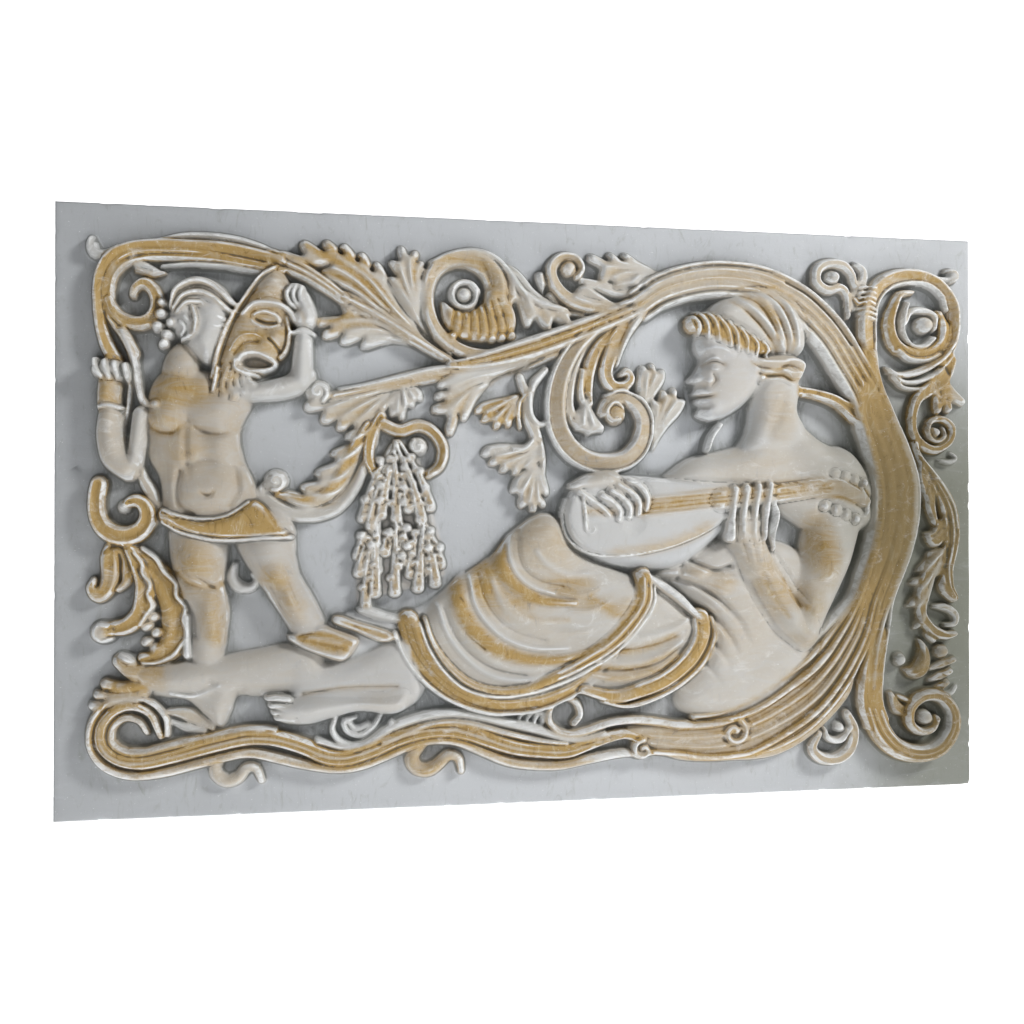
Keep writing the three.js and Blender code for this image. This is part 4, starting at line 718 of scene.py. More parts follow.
def drapery():
    # The robe over the bent knee: a hem that turns up into the sash, two strong folds and soft ones between
    plate([[441, 178], [449, 247], [490, 290], [540, 325], [562, 352], [600, 378], [628, 372], [650, 332],
        [720, 300], [762, 290], [818, 240], [812, 205], [762, 155], [700, 140], [640, 140], [600, 124],
        [540, 124], [480, 145]], 29, 30, gold=0.15, pale=0.85)
    swell(604, 335, 66, 58, 11, turn=-35, gold=0.4)
    swell(700, 250, 95, 62, 6, turn=-12, gold=0.1)
    swell(560, 235, 80, 66, 3, gold=0.2)
    hollows = (
        (530, 292, 26, 40, 0.9), (560, 262, 40, 26, 0.6), (640, 285, 44, 18, 0.6), (670, 262, 34, 14, 0.5),
        (720, 255, 50, 16, 0.4),
    )
    for u, v, wide, tall, g in hollows:
        swell(u, v, wide, tall, 1, gold=g)
    folds = (([[470, 262], [482, 226], [504, 196], [536, 172], [580, 163], [624, 170]], [8, 12, 12, 8],
        4, 0.0), ([[484, 270], [496, 236], [518, 208], [550, 184], [590, 176], [632, 182]],
        [10, 14, 14, 8], 3, 0.1), ([[494, 288], [500, 254], [520, 224], [550, 202], [590, 190],
        [640, 190], [676, 202]], [30, 36, 32, 24, 16, 10], 7, 0.9), ([[511, 298], [517, 264], [534, 237],
        [560, 216], [596, 204], [640, 203]], [7, 9, 9, 6], 5, 0.0), ([[540, 292], [556, 258], [584, 236],
        [622, 224], [664, 224]], [10, 18, 16, 8], 3, 0.2), ([[552, 274], [572, 252], [604, 240],
        [640, 240]], [8, 14, 8], 2.5, 0.4), ([[554, 352], [551, 318], [562, 293], [585, 275], [614, 264],
        [648, 262]], [20, 28, 26, 18, 10], 7, 0.95), ([[564, 358], [562, 325], [572, 301], [592, 284],
        [622, 274]], [6, 8, 8, 5], 5, 0.0), ([[596, 330], [612, 312], [640, 300], [668, 300]], [8, 14, 8],
        3, 0.1), ([[628, 276], [652, 272], [680, 280]], [5, 9, 5], 3, 0.5), ([[640, 252], [668, 252],
        [694, 264]], [5, 9, 5], 3, 0.3), ([[690, 216], [730, 214], [775, 224], [806, 240]],
        [10, 18, 18, 8], 4, 0.1), ([[676, 186], [715, 182], [760, 190], [794, 210]], [10, 20, 20, 8],
        5, 0.15), ([[672, 168], [710, 162], [756, 171], [790, 190]], [8, 16, 18, 8], 4, 0.6), )
    for line, wide, high, g in folds:
        crease(line, wide, high, gold=g)
    grooves = (
        [[478, 258], [490, 226], [512, 198], [544, 178], [584, 169]],
        [[484, 268], [494, 242], [508, 222], [530, 204]],
        [[522, 302], [530, 270], [546, 244], [572, 225], [610, 214]],
        [[574, 356], [574, 326], [584, 304], [606, 290], [634, 284]],
        [[684, 204], [720, 200], [768, 208], [800, 224]],
        [[664, 176], [710, 172], [758, 180], [792, 200]],
    )
    for line in grooves:
        crease(line, 8, -3.5)
    strand([[433, 240], [442, 208], [460, 180], [484, 156], [513, 139], [552, 129], [600, 132],
        [642, 146], [674, 168], [704, 196]], [30, 34, 30, 25, 22, 20, 18, 16, 10], 32, "lip", gold=0.95)
    for off in (-5, 3):
        crease([[433 + off, 238], [442 + off, 208], [460 + off, 180], [484, 156 + off], [513, 139 + off],
            [552, 129 + off], [600, 132 + off]], 4, -2.5)
    strand([[744, 296], [742, 264], [722, 232], [696, 207], [662, 185], [628, 167], [588, 152],
        [548, 149], [512, 160], [484, 184], [464, 214], [454, 244]],
        [24, 28, 28, 24, 20, 16, 13, 12, 12, 11, 9, 6], [37, 37, 37, 37, 36, 35, 35, 35, 35], "flat",
        gold=0.8)
    for off, high in ((-8, -3), (-2, 3), (4, -3), (9, 3)):
        crease([[744 + off, 294], [742 + off, 262], [722 + off * 0.8, 232 - off * 0.5],
            [696 + off * 0.5, 207 - off * 0.8], [662 + off * 0.3, 187 - off * 0.8],
            [628, 170 - off * 0.6]], 6, high, gold=0.9 if high < 0 else 0.3, at=36)
    strand([[758, 292], [757, 258], [734, 224], [706, 196], [672, 175], [636, 158], [592, 145],
        [548, 141], [508, 151], [480, 174], [460, 204], [448, 238]], [5, 6, 6, 5, 5, 6, 6, 6, 6, 6, 6, 5],
        [38, 38, 37, 36, 35], cut=2)
    strand([[416, 226], [426, 200], [444, 173], [472, 147], [504, 130], [548, 119], [600, 122],
        [648, 140], [688, 168]], 7, 29, cut=2)
    strand([[822, 240], [822, 214], [804, 184], [772, 159], [738, 145], [704, 138], [662, 148]],
        [26, 28, 26, 22, 14], 33, "flat", gold=0.75)
    for off in (-6, 5):
        crease([[822 + off, 236], [822 + off, 212], [804 + off, 184 - off * 0.4],
            [772 + off * 0.6, 159 - off * 0.7], [738, 145 - off]], 5, -3, gold=0.95)
    crease([[812, 238], [811, 214], [794, 186], [764, 164], [732, 152]], 5, 4, gold=0.0, at=33)
    strand([[836, 240], [839, 212], [822, 178], [790, 150], [756, 133], [722, 124], [690, 130]],
        [8, 13, 13, 11, 5], 31, cut=3, gold=0.6)
    stains = (
        ([[700, 196], [740, 200], [784, 216]], 10),
        ([[690, 176], [736, 176], [786, 198]], 9),
        ([[670, 270], [700, 250], [716, 240]], 9),
    )
    for line, wide in stains:
        paint(line, wide, 0.8, 0.7, at=33)
    strand([[748, 294], [770, 281], [794, 264], [820, 240]], [14, 18, 18, 12], 36, gold=0.1)
    crease([[752, 284], [776, 270], [806, 244]], 8, -3, gold=0.3)


def roots():
    # Long cords run along the foot of the scene: pale lips either side of ochre channels
    cords = (([[752, 62], [712, 62], [670, 56], [630, 50], [590, 52], [560, 58], [530, 71], [500, 84],
        [478, 88], [455, 87], [430, 80], [400, 68], [370, 58], [340, 56], [300, 63], [270, 71], [235, 79],
        [200, 74], [170, 67], [130, 58], [92, 56], [62, 68], [46, 92], [47, 120], [62, 143], [88, 152],
        [116, 146], [134, 126], [136, 104]], [12, 16, 15, 15, 15, 14, 12, 8], 22, "round", 0.35),
        ([[735, 82], [715, 87], [680, 79], [640, 68], [600, 70], [570, 75], [540, 85], [510, 96],
        [480, 102], [450, 100], [420, 92], [385, 78], [355, 70], [330, 72], [300, 85], [270, 95],
        [245, 98], [220, 96], [180, 87], [140, 77], [105, 71], [78, 76], [60, 92], [58, 114], [70, 133],
        [92, 141], [114, 132], [124, 112], [128, 102]], [12, 20, 22, 22, 22, 22, 20, 18, 14, 8],
        25, "channel", 0.95), ([[268, 108], [245, 110], [200, 103], [140, 91], [108, 84], [86, 86],
        [71, 98], [72, 116], [86, 127], [103, 122], [112, 108]], [6, 12, 14, 13, 12, 11, 8],
        22, "round", 0.7), ([[318, 92], [352, 83], [380, 88], [405, 102], [430, 112], [460, 119],
        [490, 121], [520, 117], [560, 107], [600, 97], [645, 84], [690, 88]], [8, 13, 15, 15, 12],
        23, "round", 0.05), ([[400, 88], [430, 99], [460, 109], [490, 111], [520, 106], [560, 94],
        [600, 84], [640, 78]], [6, 10, 11, 10, 6], 25, "round", 0.5), )
    for line, wide, high, form, g in cords:
        strand(line, wide, high, form, gold=g, cut=3)
    crease(cords[1][0][1:-2], [4, 5, 5, 5, 4], 4, gold=0.0, at=25)
    paint(cords[0][0][2:-4], 8, 1.0, 1.0, at=22)
    strand([[200, 76], [194, 58], [206, 46], [221, 49], [232, 61], [243, 61], [250, 45]],
        [14, 18, 17, 14, 9], 15, gold=0.3)
    strand([[450, 84], [438, 68], [443, 54], [458, 50], [472, 58], [484, 68], [497, 64], [501, 47]],
        [16, 20, 19, 15, 9], 17, gold=0.6)
    strand([[342, 122], [337, 104], [350, 88], [376, 84], [402, 98], [412, 112]], [6, 11, 12, 9], 20)
    strand([[398, 122], [388, 108], [372, 98], [356, 103], [352, 116], [366, 120]], [6, 10, 11, 9, 6], 18,
        pale=0.7)
    strand([[356, 118], [366, 106], [382, 112]], 8, 15, pale=0.8)
    # curls on the cords to the right
    scroll(742, 66, 14, 90, 1.1, 11, 25, "round", gold=0.45)
    scroll(868, 86, 18, 60, -1.15, 12, 27, "round", gold=0.4)
    strand([[990, 80], [980, 60], [994, 46], [1016, 45], [1034, 58], [1040, 84], [1030, 106]],
        [9, 15, 17, 16, 12], 22, "channel", gold=0.35)
    strand([[1034, 88], [1020, 70], [1003, 73], [998, 86]], [7, 11, 10, 6], 23, gold=0.2)
    mound(1018, 88, 8, 8, 19)
    for k in range(4):
        strand([[575 + k * 10, 112 - k * 3], [586 + k * 8, 122 - k], [606 + k * 3, 118]], [4, 9, 5], 16,
            cut=2)


def trunkLine(share):
    # Down the trunk from v 510 to 262, at a share of its half width to the right of its middle
    stations = ((1074, 510, 28), (1090, 470, 31), (1103, 425, 33), (1104, 380, 33), (1096, 335, 32),
        (1082, 295, 31), (1069, 262, 31))
    return [[u + share * half, v] for u, v, half in stations]


def branchLine(off):
    # From the fork over the figures to the trunk, at a distance outwards from its middle
    stations = ((738, 655, -0.5, 0.8), (770, 676, -0.3, 0.95), (815, 690, -0.1, 1), (860, 694, 0, 1),
        (912, 687, 0.2, 1), (962, 664, 0.55, 0.85), (1004, 626, 0.8, 0.65), (1032, 585, 0.9, 0.45),
        (1055, 545, 0.9, 0.3))
    return [[u + off * a, v + off * b] for u, v, a, b in stations]


def trunkAndBranches():
    # Long flutes run from the branch through the trunk into the roots
    strand([[770, 676], [740, 656], [700, 637], [650, 616], [600, 597], [560, 583], [520, 574],
        [488, 570]], [30, 32, 31, 30, 30, 27, 20, 12], 25, "flat", gold=0.7)
    for off, g in ((10, 0.05), (0, 0.85), (-10, 0.35)):
        strand([[790, 684 + off], [765, 674 + off], [738, 655 + off], [700, 637 + off], [650, 616 + off],
            [600, 597 + off], [555, 583 + off * 0.9], [515, 573 + off * 0.6], [484, 569 + off * 0.3]],
            [6, 11, 13, 13, 13, 11, 6], 29, soft=1, gold=g, cut=0)
    strand(branchLine(0), [28, 38, 44, 48, 50, 52, 54, 56], 27, "flat", gold=0.3)
    strand([[1060, 540]] + trunkLine(0) + [[1046, 215], [1024, 170]],
        [50, 58, 64, 68, 68, 66, 64, 60, 54, 44], [31, 31, 31, 31, 31, 30, 28, 24, 18, 12], "flat",
        gold=0.5)
    plate([[1040, 285], [1012, 232], [985, 195], [945, 165], [900, 135], [850, 112], [790, 106],
        [720, 100], [720, 82], [790, 52], [870, 48], [930, 54], [985, 84], [1030, 130], [1046, 175],
        [1090, 240]], 19, 10, gold=0.35, pale=0.7)
    flutes = ((21, -0.30, [[1044, 212], [1010, 155], [970, 116], [905, 82], [850, 67], [800, 68],
        [755, 74]], 0.4), (11, -0.52, [[1034, 214], [1000, 164], [958, 128], [900, 97], [850, 82],
        [800, 80], [755, 84], [715, 88]], 0.5), (0, -0.75, [[1022, 218], [990, 175], [948, 143],
        [900, 114], [850, 98], [800, 95], [760, 101], [730, 104], [700, 101], [670, 92], [648, 88],
        [628, 93], [617, 108], [622, 128], [638, 137], [654, 130], [660, 114], [652, 102]], 0.55),
        (-11, -0.93, [[1012, 222], [982, 186], [940, 156], [898, 130], [855, 112], [815, 106]], 0.45),
        (-21, -1.0, [[1004, 226], [972, 194], [932, 168], [900, 150]], 0.1), )
    for off, share, tail, g in flutes:
        strand(branchLine(off) + trunkLine(share) + tail, [7, 11, 13, 14, 15, 15, 14, 12, 11],
            [30, 31, 31.5, 32, 32.5, 31, 27, 24, 22], soft=2, gold=g, cut=0)
    right = ((0.0, [[1052, 205], [1018, 146], [976, 102], [905, 62], [870, 54], [830, 53], [790, 59],
        [752, 62]], [14, 15, 13, 12], 0.75), (0.25, [[1060, 205], [1030, 145], [988, 96], [944, 68],
        [900, 54]], [14, 15, 12, 6], 0.6), (0.5, [[1064, 200], [1056, 160], [1053, 120], [1064, 84]],
        [14, 15, 14, 8], 0.6), (0.72, [[1076, 205], [1070, 160], [1069, 120], [1080, 88]],
        [14, 14, 14, 8], 0.25), (0.92, [[1090, 205], [1083, 160], [1083, 122], [1094, 95]], [8, 8, 8, 5],
        0.0), )
    for share, tail, wide, g in right:
        strand([[1064 + share * 8, 600], [1066 + share * 16, 555]] + trunkLine(share) + tail, wide,
            [28, 32, 32.5, 32.5, 32, 30, 27, 24], soft=2, gold=g, cut=0)
    for share in (-0.85, -0.42, 0.12, 0.62, 0.93):
        crease([[1062 + share * 14, 560]] + trunkLine(share), [2, 4, 4, 3, 2], 2.2, gold=0.1, at=32)
    paint([[1060, 560]] + trunkLine(-0.15), 50, 1.0, 0.7, at=32)
    for share, wide in ((-0.55, 7), (-0.2, 9), (0.2, 8)):
        paint([[1062 + share * 14, 540]] + trunkLine(share), wide, 1.6, 0.3, at=32)
    strand([[1086, 470], [1064, 490], [1040, 514], [1015, 533], [985, 542], [956, 546]],
        [20, 20, 19, 17, 15, 13], 30, "channel", gold=0.75)
    crease([[1034, 608], [1004, 646], [972, 674], [940, 690]], 6, -7)
    crease([[800, 704], [829, 709], [858, 711], [892, 709], [921, 704]], 6, -5)


def upperRightRing():
    # A broad ribbon that turns into a ring, with a second ring inside and a small scroll beside it
    strand([[1086, 500], [1074, 545], [1064, 590], [1060, 630], [1064, 666], [1080, 693], [1108, 707],
        [1138, 708], [1166, 697], [1187, 672], [1191, 642], [1184, 612], [1162, 588], [1134, 574],
        [1108, 571], [1092, 579]], [46, 38, 28, 26, 26, 25, 23, 21, 19, 18, 17, 15, 13, 12, 10, 6], 28,
        "lip", gold=0.5)
    for k in range(7):
        strand([[1050, 646 + k * 7], [1061, 648 + k * 7], [1073, 645 + k * 7]], 4, 30, soft=1, gold=0.3,
            cut=0)
    strand([[1072, 560], [1074, 600], [1073, 640], [1078, 668], [1094, 688], [1120, 697], [1148, 696],
        [1170, 682], [1180, 660]], [4, 5, 5, 5, 4], 27)
    strand([[1092, 573], [1112, 561], [1140, 562], [1168, 578], [1188, 604], [1195, 640]],
        [5, 8, 8, 6, 4], 23, gold=0.1)
    strand([[1094, 566], [1114, 552], [1142, 552], [1164, 566]], [4, 7, 7, 5], 20, gold=0.4)
    strand([[1128, 685], [1110, 681], [1100, 664], [1093, 640], [1100, 614], [1122, 600], [1150, 600],
        [1170, 614], [1176, 636], [1168, 656]], [8, 12, 16, 18, 19, 19, 17, 15, 12], 24, "lip", gold=0.75)
    strand([[1122, 670], [1114, 650], [1113, 630], [1124, 612], [1144, 610], [1160, 622]],
        [6, 9, 8, 8, 8], 25, gold=0.1)
    strand([[1116, 640], [1124, 656], [1140, 660], [1158, 652], [1160, 634]], [7, 9, 12, 13, 8], 24,
        gold=0.2)
    strand([[1104, 604], [1120, 592], [1144, 590], [1166, 600]], [6, 9, 8, 5], 21, gold=0.15)
    mound(1147, 640, 13, 13, 27, gold=0.2)
    strand([[1160, 706], [1174, 703], [1188, 706]], [6, 9, 9], 18)
    mound(1188, 709, 10, 10, 20)
    strand([[1178, 716], [1190, 717], [1195, 706], [1186, 700]], 4, 22, gold=0.5, cut=3)
    # small scroll beside the ring
    strand([[1034, 648], [1033, 675], [1022, 688], [1004, 684], [988, 694], [990, 712], [1006, 720],
        [1026, 718], [1038, 706], [1042, 690]], [8, 13, 15, 16, 15, 10], 23, "petal", gold=0.3)
    mound(1012, 702, 11, 10, 25, gold=0.1)
    scroll(1012, 702, 9, 200, 1.0, 4, 27, "round", cut=3)
    strand([[1040, 660], [1044, 682], [1054, 698], [1054, 712], [1044, 720]], [11, 17, 15, 8], 21,
        "petal", gold=0.15)
    strand([[1040, 672], [1046, 664], [1052, 672]], [5, 8, 4], 22, gold=0.8)


def rightOrnaments():
    # Bracket leaf, double scroll, hanging leaf, twisted leaf, hook and buds, down the right edge
    strand([[1180, 590], [1170, 566], [1150, 550], [1134, 536], [1127, 515], [1127, 494], [1138, 476],
        [1160, 467], [1181, 478], [1186, 498], [1172, 510], [1154, 506], [1148, 494]],
        [26, 28, 22, 16, 14, 14, 14, 13, 12, 11, 9, 7], 22, "channel", gold=1.0)
    strand([[1160, 512], [1150, 500], [1150, 486], [1162, 478], [1174, 486], [1172, 498]],
        [6, 8, 8, 7, 5], 20, gold=0.7)
    mound(1161, 491, 8, 8, 22, gold=0.5)
    for k, tip in enumerate(([1164, 522], [1180, 524], [1200, 534])):
        strand([[1168, 572], [1168 + k * 5, 550], tip], [18, 24, 13], 22 - k, "petal", gold=0.9 - 0.3 * k)
    strand([[1184, 462], [1190, 455], [1180, 450], [1166, 452]], [5, 8, 4], 14, pale=0.6)
    strand([[1127, 476], [1140, 452], [1160, 424], [1178, 392], [1185, 360], [1183, 330], [1178, 304],
        [1180, 280], [1190, 262]], [6, 12, 20, 28, 30, 28, 24, 22, 14], 23, "flutes", gold=0.75)
    lobes = (
        ([1140, 450], [1142, 425], [1150, 398]),
        ([1154, 420], [1153, 392], [1160, 366]),
        ([1172, 370], [1160, 350], [1150, 348]),
        ([1172, 352], [1160, 338], [1152, 342]),
        ([1176, 330], [1166, 314], [1164, 296]),
        ([1176, 300], [1174, 276], [1186, 260]),
    )
    for a, b, tip in lobes:
        strand([a, b, tip], [11, 18, 11], 22, "petal", gold=0.7)
    strand([[1130, 478], [1144, 452], [1166, 424], [1186, 390], [1192, 358]], [3, 5, 5, 4], 24, gold=0.05,
        cut=3)
    blade([1172, 330], [[[1150, 322], [1140, 306], [1134, 300]], [[1146, 300], [1130, 284], [1124, 282]],
        [[1142, 276], [1124, 262], [1120, 252]], [[1138, 256], [1128, 236], [1130, 222]], [[1140, 240],
        [1144, 214], [1156, 203]]], [10, 18, 18], 21, gold=0.5, depth=3)
    strand([[1158, 318], [1144, 290], [1138, 262], [1140, 238], [1156, 218], [1176, 210], [1190, 212]],
        [8, 12, 14, 15, 16, 16, 9], 22, "channel", gold=0.7)
    strand([[1160, 250], [1178, 248], [1190, 238], [1188, 226], [1176, 224]], [6, 13, 14, 11, 6], 20,
        "petal", gold=0.3)
    plate([[1132, 208], [1146, 196], [1150, 176], [1144, 158], [1130, 150], [1116, 154], [1108, 166],
        [1120, 172], [1128, 186]], 19, 9, gold=0.6, pale=0.6)
    crease([[1136, 204], [1136, 184], [1128, 168], [1114, 164]], 6, -3, gold=1.0)
    crease([[1144, 198], [1146, 178], [1138, 160], [1122, 155]], 5, 2.5)
    mound(1108, 178, 9, 10, 20, gold=0.2)
    mound(1169, 188, 12, 10.5, 19, gold=0.5)
    for k in range(3):
        v = 172 - 15.5 * k
        strand([[1152, v - 8], [1168, v - 2], [1187 - 5 * k, v + 4]], [6, 13, 10], 18, "petal", gold=0.5)
        mound(1180 - 5 * k, v + 1, 5, 4, 19, gold=0.9, cut=2)


def lowerRightScroll():
    # The trunk's outer band runs down and winds into a spiral
    strand([[1070, 215], [1066, 170], [1064, 140], [1067, 112], [1080, 80], [1104, 56], [1138, 47],
        [1168, 56], [1186, 82], [1184, 108], [1166, 126], [1140, 126], [1122, 110], [1122, 90],
        [1138, 78], [1154, 82], [1162, 96]], [34, 38, 40, 37, 34, 30, 27, 25, 23, 21, 19, 17, 15, 13, 10],
        25, "flat", gold=0.75)
    spiral = [[1067, 112], [1080, 80], [1104, 56], [1138, 47], [1168, 56], [1186, 82], [1184, 108],
        [1166, 126], [1140, 126], [1122, 110], [1122, 90], [1138, 78], [1154, 82]]
    middle = np.array([1142.0, 96.0])
    away = np.array(spiral) - middle
    lips = (
        (-0.28, [10, 8, 6, 4], 0.85),
        (0.02, [12, 10, 7, 5], 0.9),
        (0.34, [6, 5, 4, 3], 0.0),
    )
    for share, wide, g in lips:
        inward = share * 30 * (1 - np.arange(len(spiral)) / 14) / np.hypot(*away.T)
        strand(middle + away * (1 - inward)[:, None], wide, [29, 29, 28, 27], soft=1, gold=g, cut=0)
    mound(1146, 97, 12, 12, 26, gold=0.3)
    strand([[1094, 130], [1103, 112], [1120, 104]], [10, 20, 12], 18, "petal", gold=0.6)
    strand([[1104, 128], [1116, 122], [1126, 118]], [6, 10, 6], 18, gold=0.7)
    strand([[1190, 140], [1180, 130], [1168, 134]], [5, 9, 4], 13, pale=0.7)


def topMiddle():
    # Small scroll, its leaf and the hook that drops from the branch
    blade([724, 650], [[[684, 655], [650, 668], [632, 662]], [[680, 648], [648, 648], [614, 668]],
        [[678, 642], [640, 646], [602, 688]]], [12, 22, 28, 18], 21, gold=[0.2, 0.4, 0.4])
    strand([[700, 648], [665, 652], [640, 662], [624, 680], [620, 700], [632, 714], [650, 714],
        [660, 702], [654, 690]], [16, 21, 21, 19, 16, 13, 10], 25, "lip", gold=0.45)
    mound(643, 700, 11, 11, 26, gold=0.5)
    strand([[740, 668], [710, 672], [684, 678], [660, 684]], [9, 18, 18, 9], 20, "petal", gold=0.15)
    blade([768, 698], [[[742, 690], [736, 676], [744, 668]], [[740, 694], [712, 688], [704, 676]],
        [[738, 698], [706, 697], [684, 685]], [[738, 701], [706, 705], [670, 714]], [[742, 704],
        [718, 710], [696, 717]], [[746, 705], [730, 711], [716, 717]]], [10, 16, 23, 18], 22,
        gold=[0.1, 0.3, 0.45, 0.3, 0.35, 0.2])
    strand([[748, 660], [720, 625], [702, 596], [693, 566], [700, 548], [716, 546], [727, 556],
        [722, 567], [714, 562]], [24, 26, 26, 24, 20, 17, 13, 8], 25, "channel", gold=0.6)
    strand([[752, 656], [730, 628], [716, 600], [708, 574]], [7, 11, 10, 5], 26, gold=0.05, cut=3)


def centreScroll():
    # The large scroll under the branch, with its inner leaves
    blade([746, 506], [[[740, 545], [742, 571]], [[748, 545], [754, 574]], [[753, 541], [769, 566]]],
        [10, 20, 17], 21, gold=[0.2, 0.5, 0.2])
    blade([756, 460], [[[755, 500], [755, 527]], [[761, 506], [770, 539]], [[766, 504], [785, 542]],
        [[770, 498], [797, 528]]], [10, 20, 18], 21, gold=[0.1, 0.5, 0.4, 0.1])
    strand([[700, 628], [668, 606], [652, 578], [644, 548], [642, 520], [652, 497], [672, 488],
        [688, 492]], [8, 14, 16, 17, 18, 17, 12, 7], 23, "petal", gold=0.25)
    strand([[704, 622], [684, 600], [672, 574], [668, 548], [672, 522]], [8, 16, 20, 18, 8], 24, "petal",
        gold=0.7)
    strand([[660, 566], [658, 540], [664, 520], [674, 524]], [8, 11, 10, 5], 24, gold=0.5)
    blade([664, 532], [[[656, 508], [652, 488]], [[664, 506], [668, 482]], [[672, 508], [686, 486]]],
        [8, 15, 13], 23, gold=0.1, depth=4)
    strand([[690, 628], [660, 604], [640, 575], [629, 545], [626, 515], [630, 490], [644, 466],
        [666, 450], [692, 445], [720, 451], [739, 472], [744, 500], [734, 521], [714, 531], [696, 526],
        [688, 512]], [10, 16, 20, 23, 25, 27, 28, 28, 27, 26, 25, 23, 20, 17, 14], 28, "lip", gold=0.45,
        pale=0.6)
    strand([[686, 634], [650, 606], [628, 576], [617, 545], [614, 515], [618, 486], [634, 458],
        [660, 439], [692, 433], [726, 440], [750, 464], [756, 500], [744, 528], [716, 541], [692, 534]],
        [3, 5, 5, 5, 5, 4], 28, cut=3)
    mound(706, 511, 16, 16, 27, gold=0.6)
    strand([[716, 518], [704, 525], [694, 514], [699, 502], [712, 502]], 5, 29, gold=0.4, cut=3)


def playerBody():
    # Belly, back and shoulders, neck, and the arm that carries the instrument's neck
    flesh = dict(gold=0.1, pale=0.8)
    plate([[752, 292], [800, 325], [870, 350], [960, 330], [985, 270], [985, 200], [940, 140], [868, 106],
        [800, 112], [785, 140], [812, 190], [820, 240], [780, 285]], 28, 40, gold=0.12, pale=0.7)
    swell(868, 230, 70, 60, 5, turn=-30, gold=0.2)
    swell(850, 180, 50, 50, 3)
    folds = (
        ([[762, 296], [800, 290], [836, 272], [872, 236], [884, 210]], 14, [-4, -8, -9, -6, -1]),
        ([[798, 326], [816, 312], [842, 303], [862, 308]], 12, -9),
        ([[792, 290], [796, 305], [804, 320]], 8, -4),
        ([[820, 290], [840, 300], [866, 296]], 12, -3),
        ([[800, 268], [836, 244], [862, 210], [870, 190]], 13, [-2, -7, -7, -1]),
        ([[806, 232], [838, 206], [862, 172]], 13, [-3, -7, -1]),
        ([[800, 200], [826, 182], [848, 152]], 13, [-2, -5, -1]),
    )
    for line, wide, deep in folds:
        crease(line, wide, deep)
    swell(820, 298, 26, 16, 6, gold=0.35)
    swell(850, 285, 26, 18, 5, gold=0.4)
    swell(838, 258, 30, 12, 5, turn=-32)
    swell(846, 226, 30, 13, 5, turn=-38, gold=0.3)
    swell(842, 192, 30, 14, 4, turn=-38)
    swell(800, 268, 30, 12, 3, turn=-25)
    # shoulders and back
    plate([[768, 420], [786, 440], [812, 455], [850, 463], [882, 476], [905, 520], [960, 552], [962, 512],
        [985, 484], [1020, 466], [1048, 452], [1064, 425], [1068, 395], [1060, 360], [1000, 340],
        [930, 380], [880, 400], [820, 404]], 33, 30, **flesh)
    swell(1010, 420, 70, 60, 8, turn=-20)
    swell(900, 440, 70, 34, 4, gold=0.2)
    swell(820, 435, 50, 22, 3)
    swell(980, 470, 40, 30, 4)
    plate([[890, 548], [902, 566], [930, 572], [962, 560], [960, 520], [972, 492], [960, 462], [900, 452],
        [872, 462], [884, 486], [889, 516]], 36, 24, gold=0.05, pale=0.7, soft=4)
    swell(930, 512, 30, 50, 3, turn=6, gold=0.3)
    crease([[904, 466], [916, 490], [930, 520], [938, 548]], 22, [0, -2, -2, 0])
    # upper arm and forearm
    strand([[1022, 430], [1020, 380], [1008, 325], [988, 272], [972, 222]], [84, 84, 80, 70, 52], 41,
        soft=6, gold=0.1, pale=0.8)
    swell(990, 330, 30, 62, 4, turn=14, gold=0.5)
    swell(972, 262, 26, 36, 4, turn=20, gold=0.35)
    strand([[972, 214], [950, 238], [926, 274], [906, 310], [894, 344]], [46, 58, 60, 54, 50], 42, cut=5,
        gold=0.25, pale=0.8)
    swell(922, 278, 24, 60, 3, turn=32, gold=0.4)
    swell(944, 236, 24, 24, 3, gold=0.1)
    crease([[900, 300], [916, 268], [938, 240]], 8, -2, gold=0.5)
    crease([[968, 250], [950, 262], [934, 290]], 13.6, -2.5, gold=0.5)


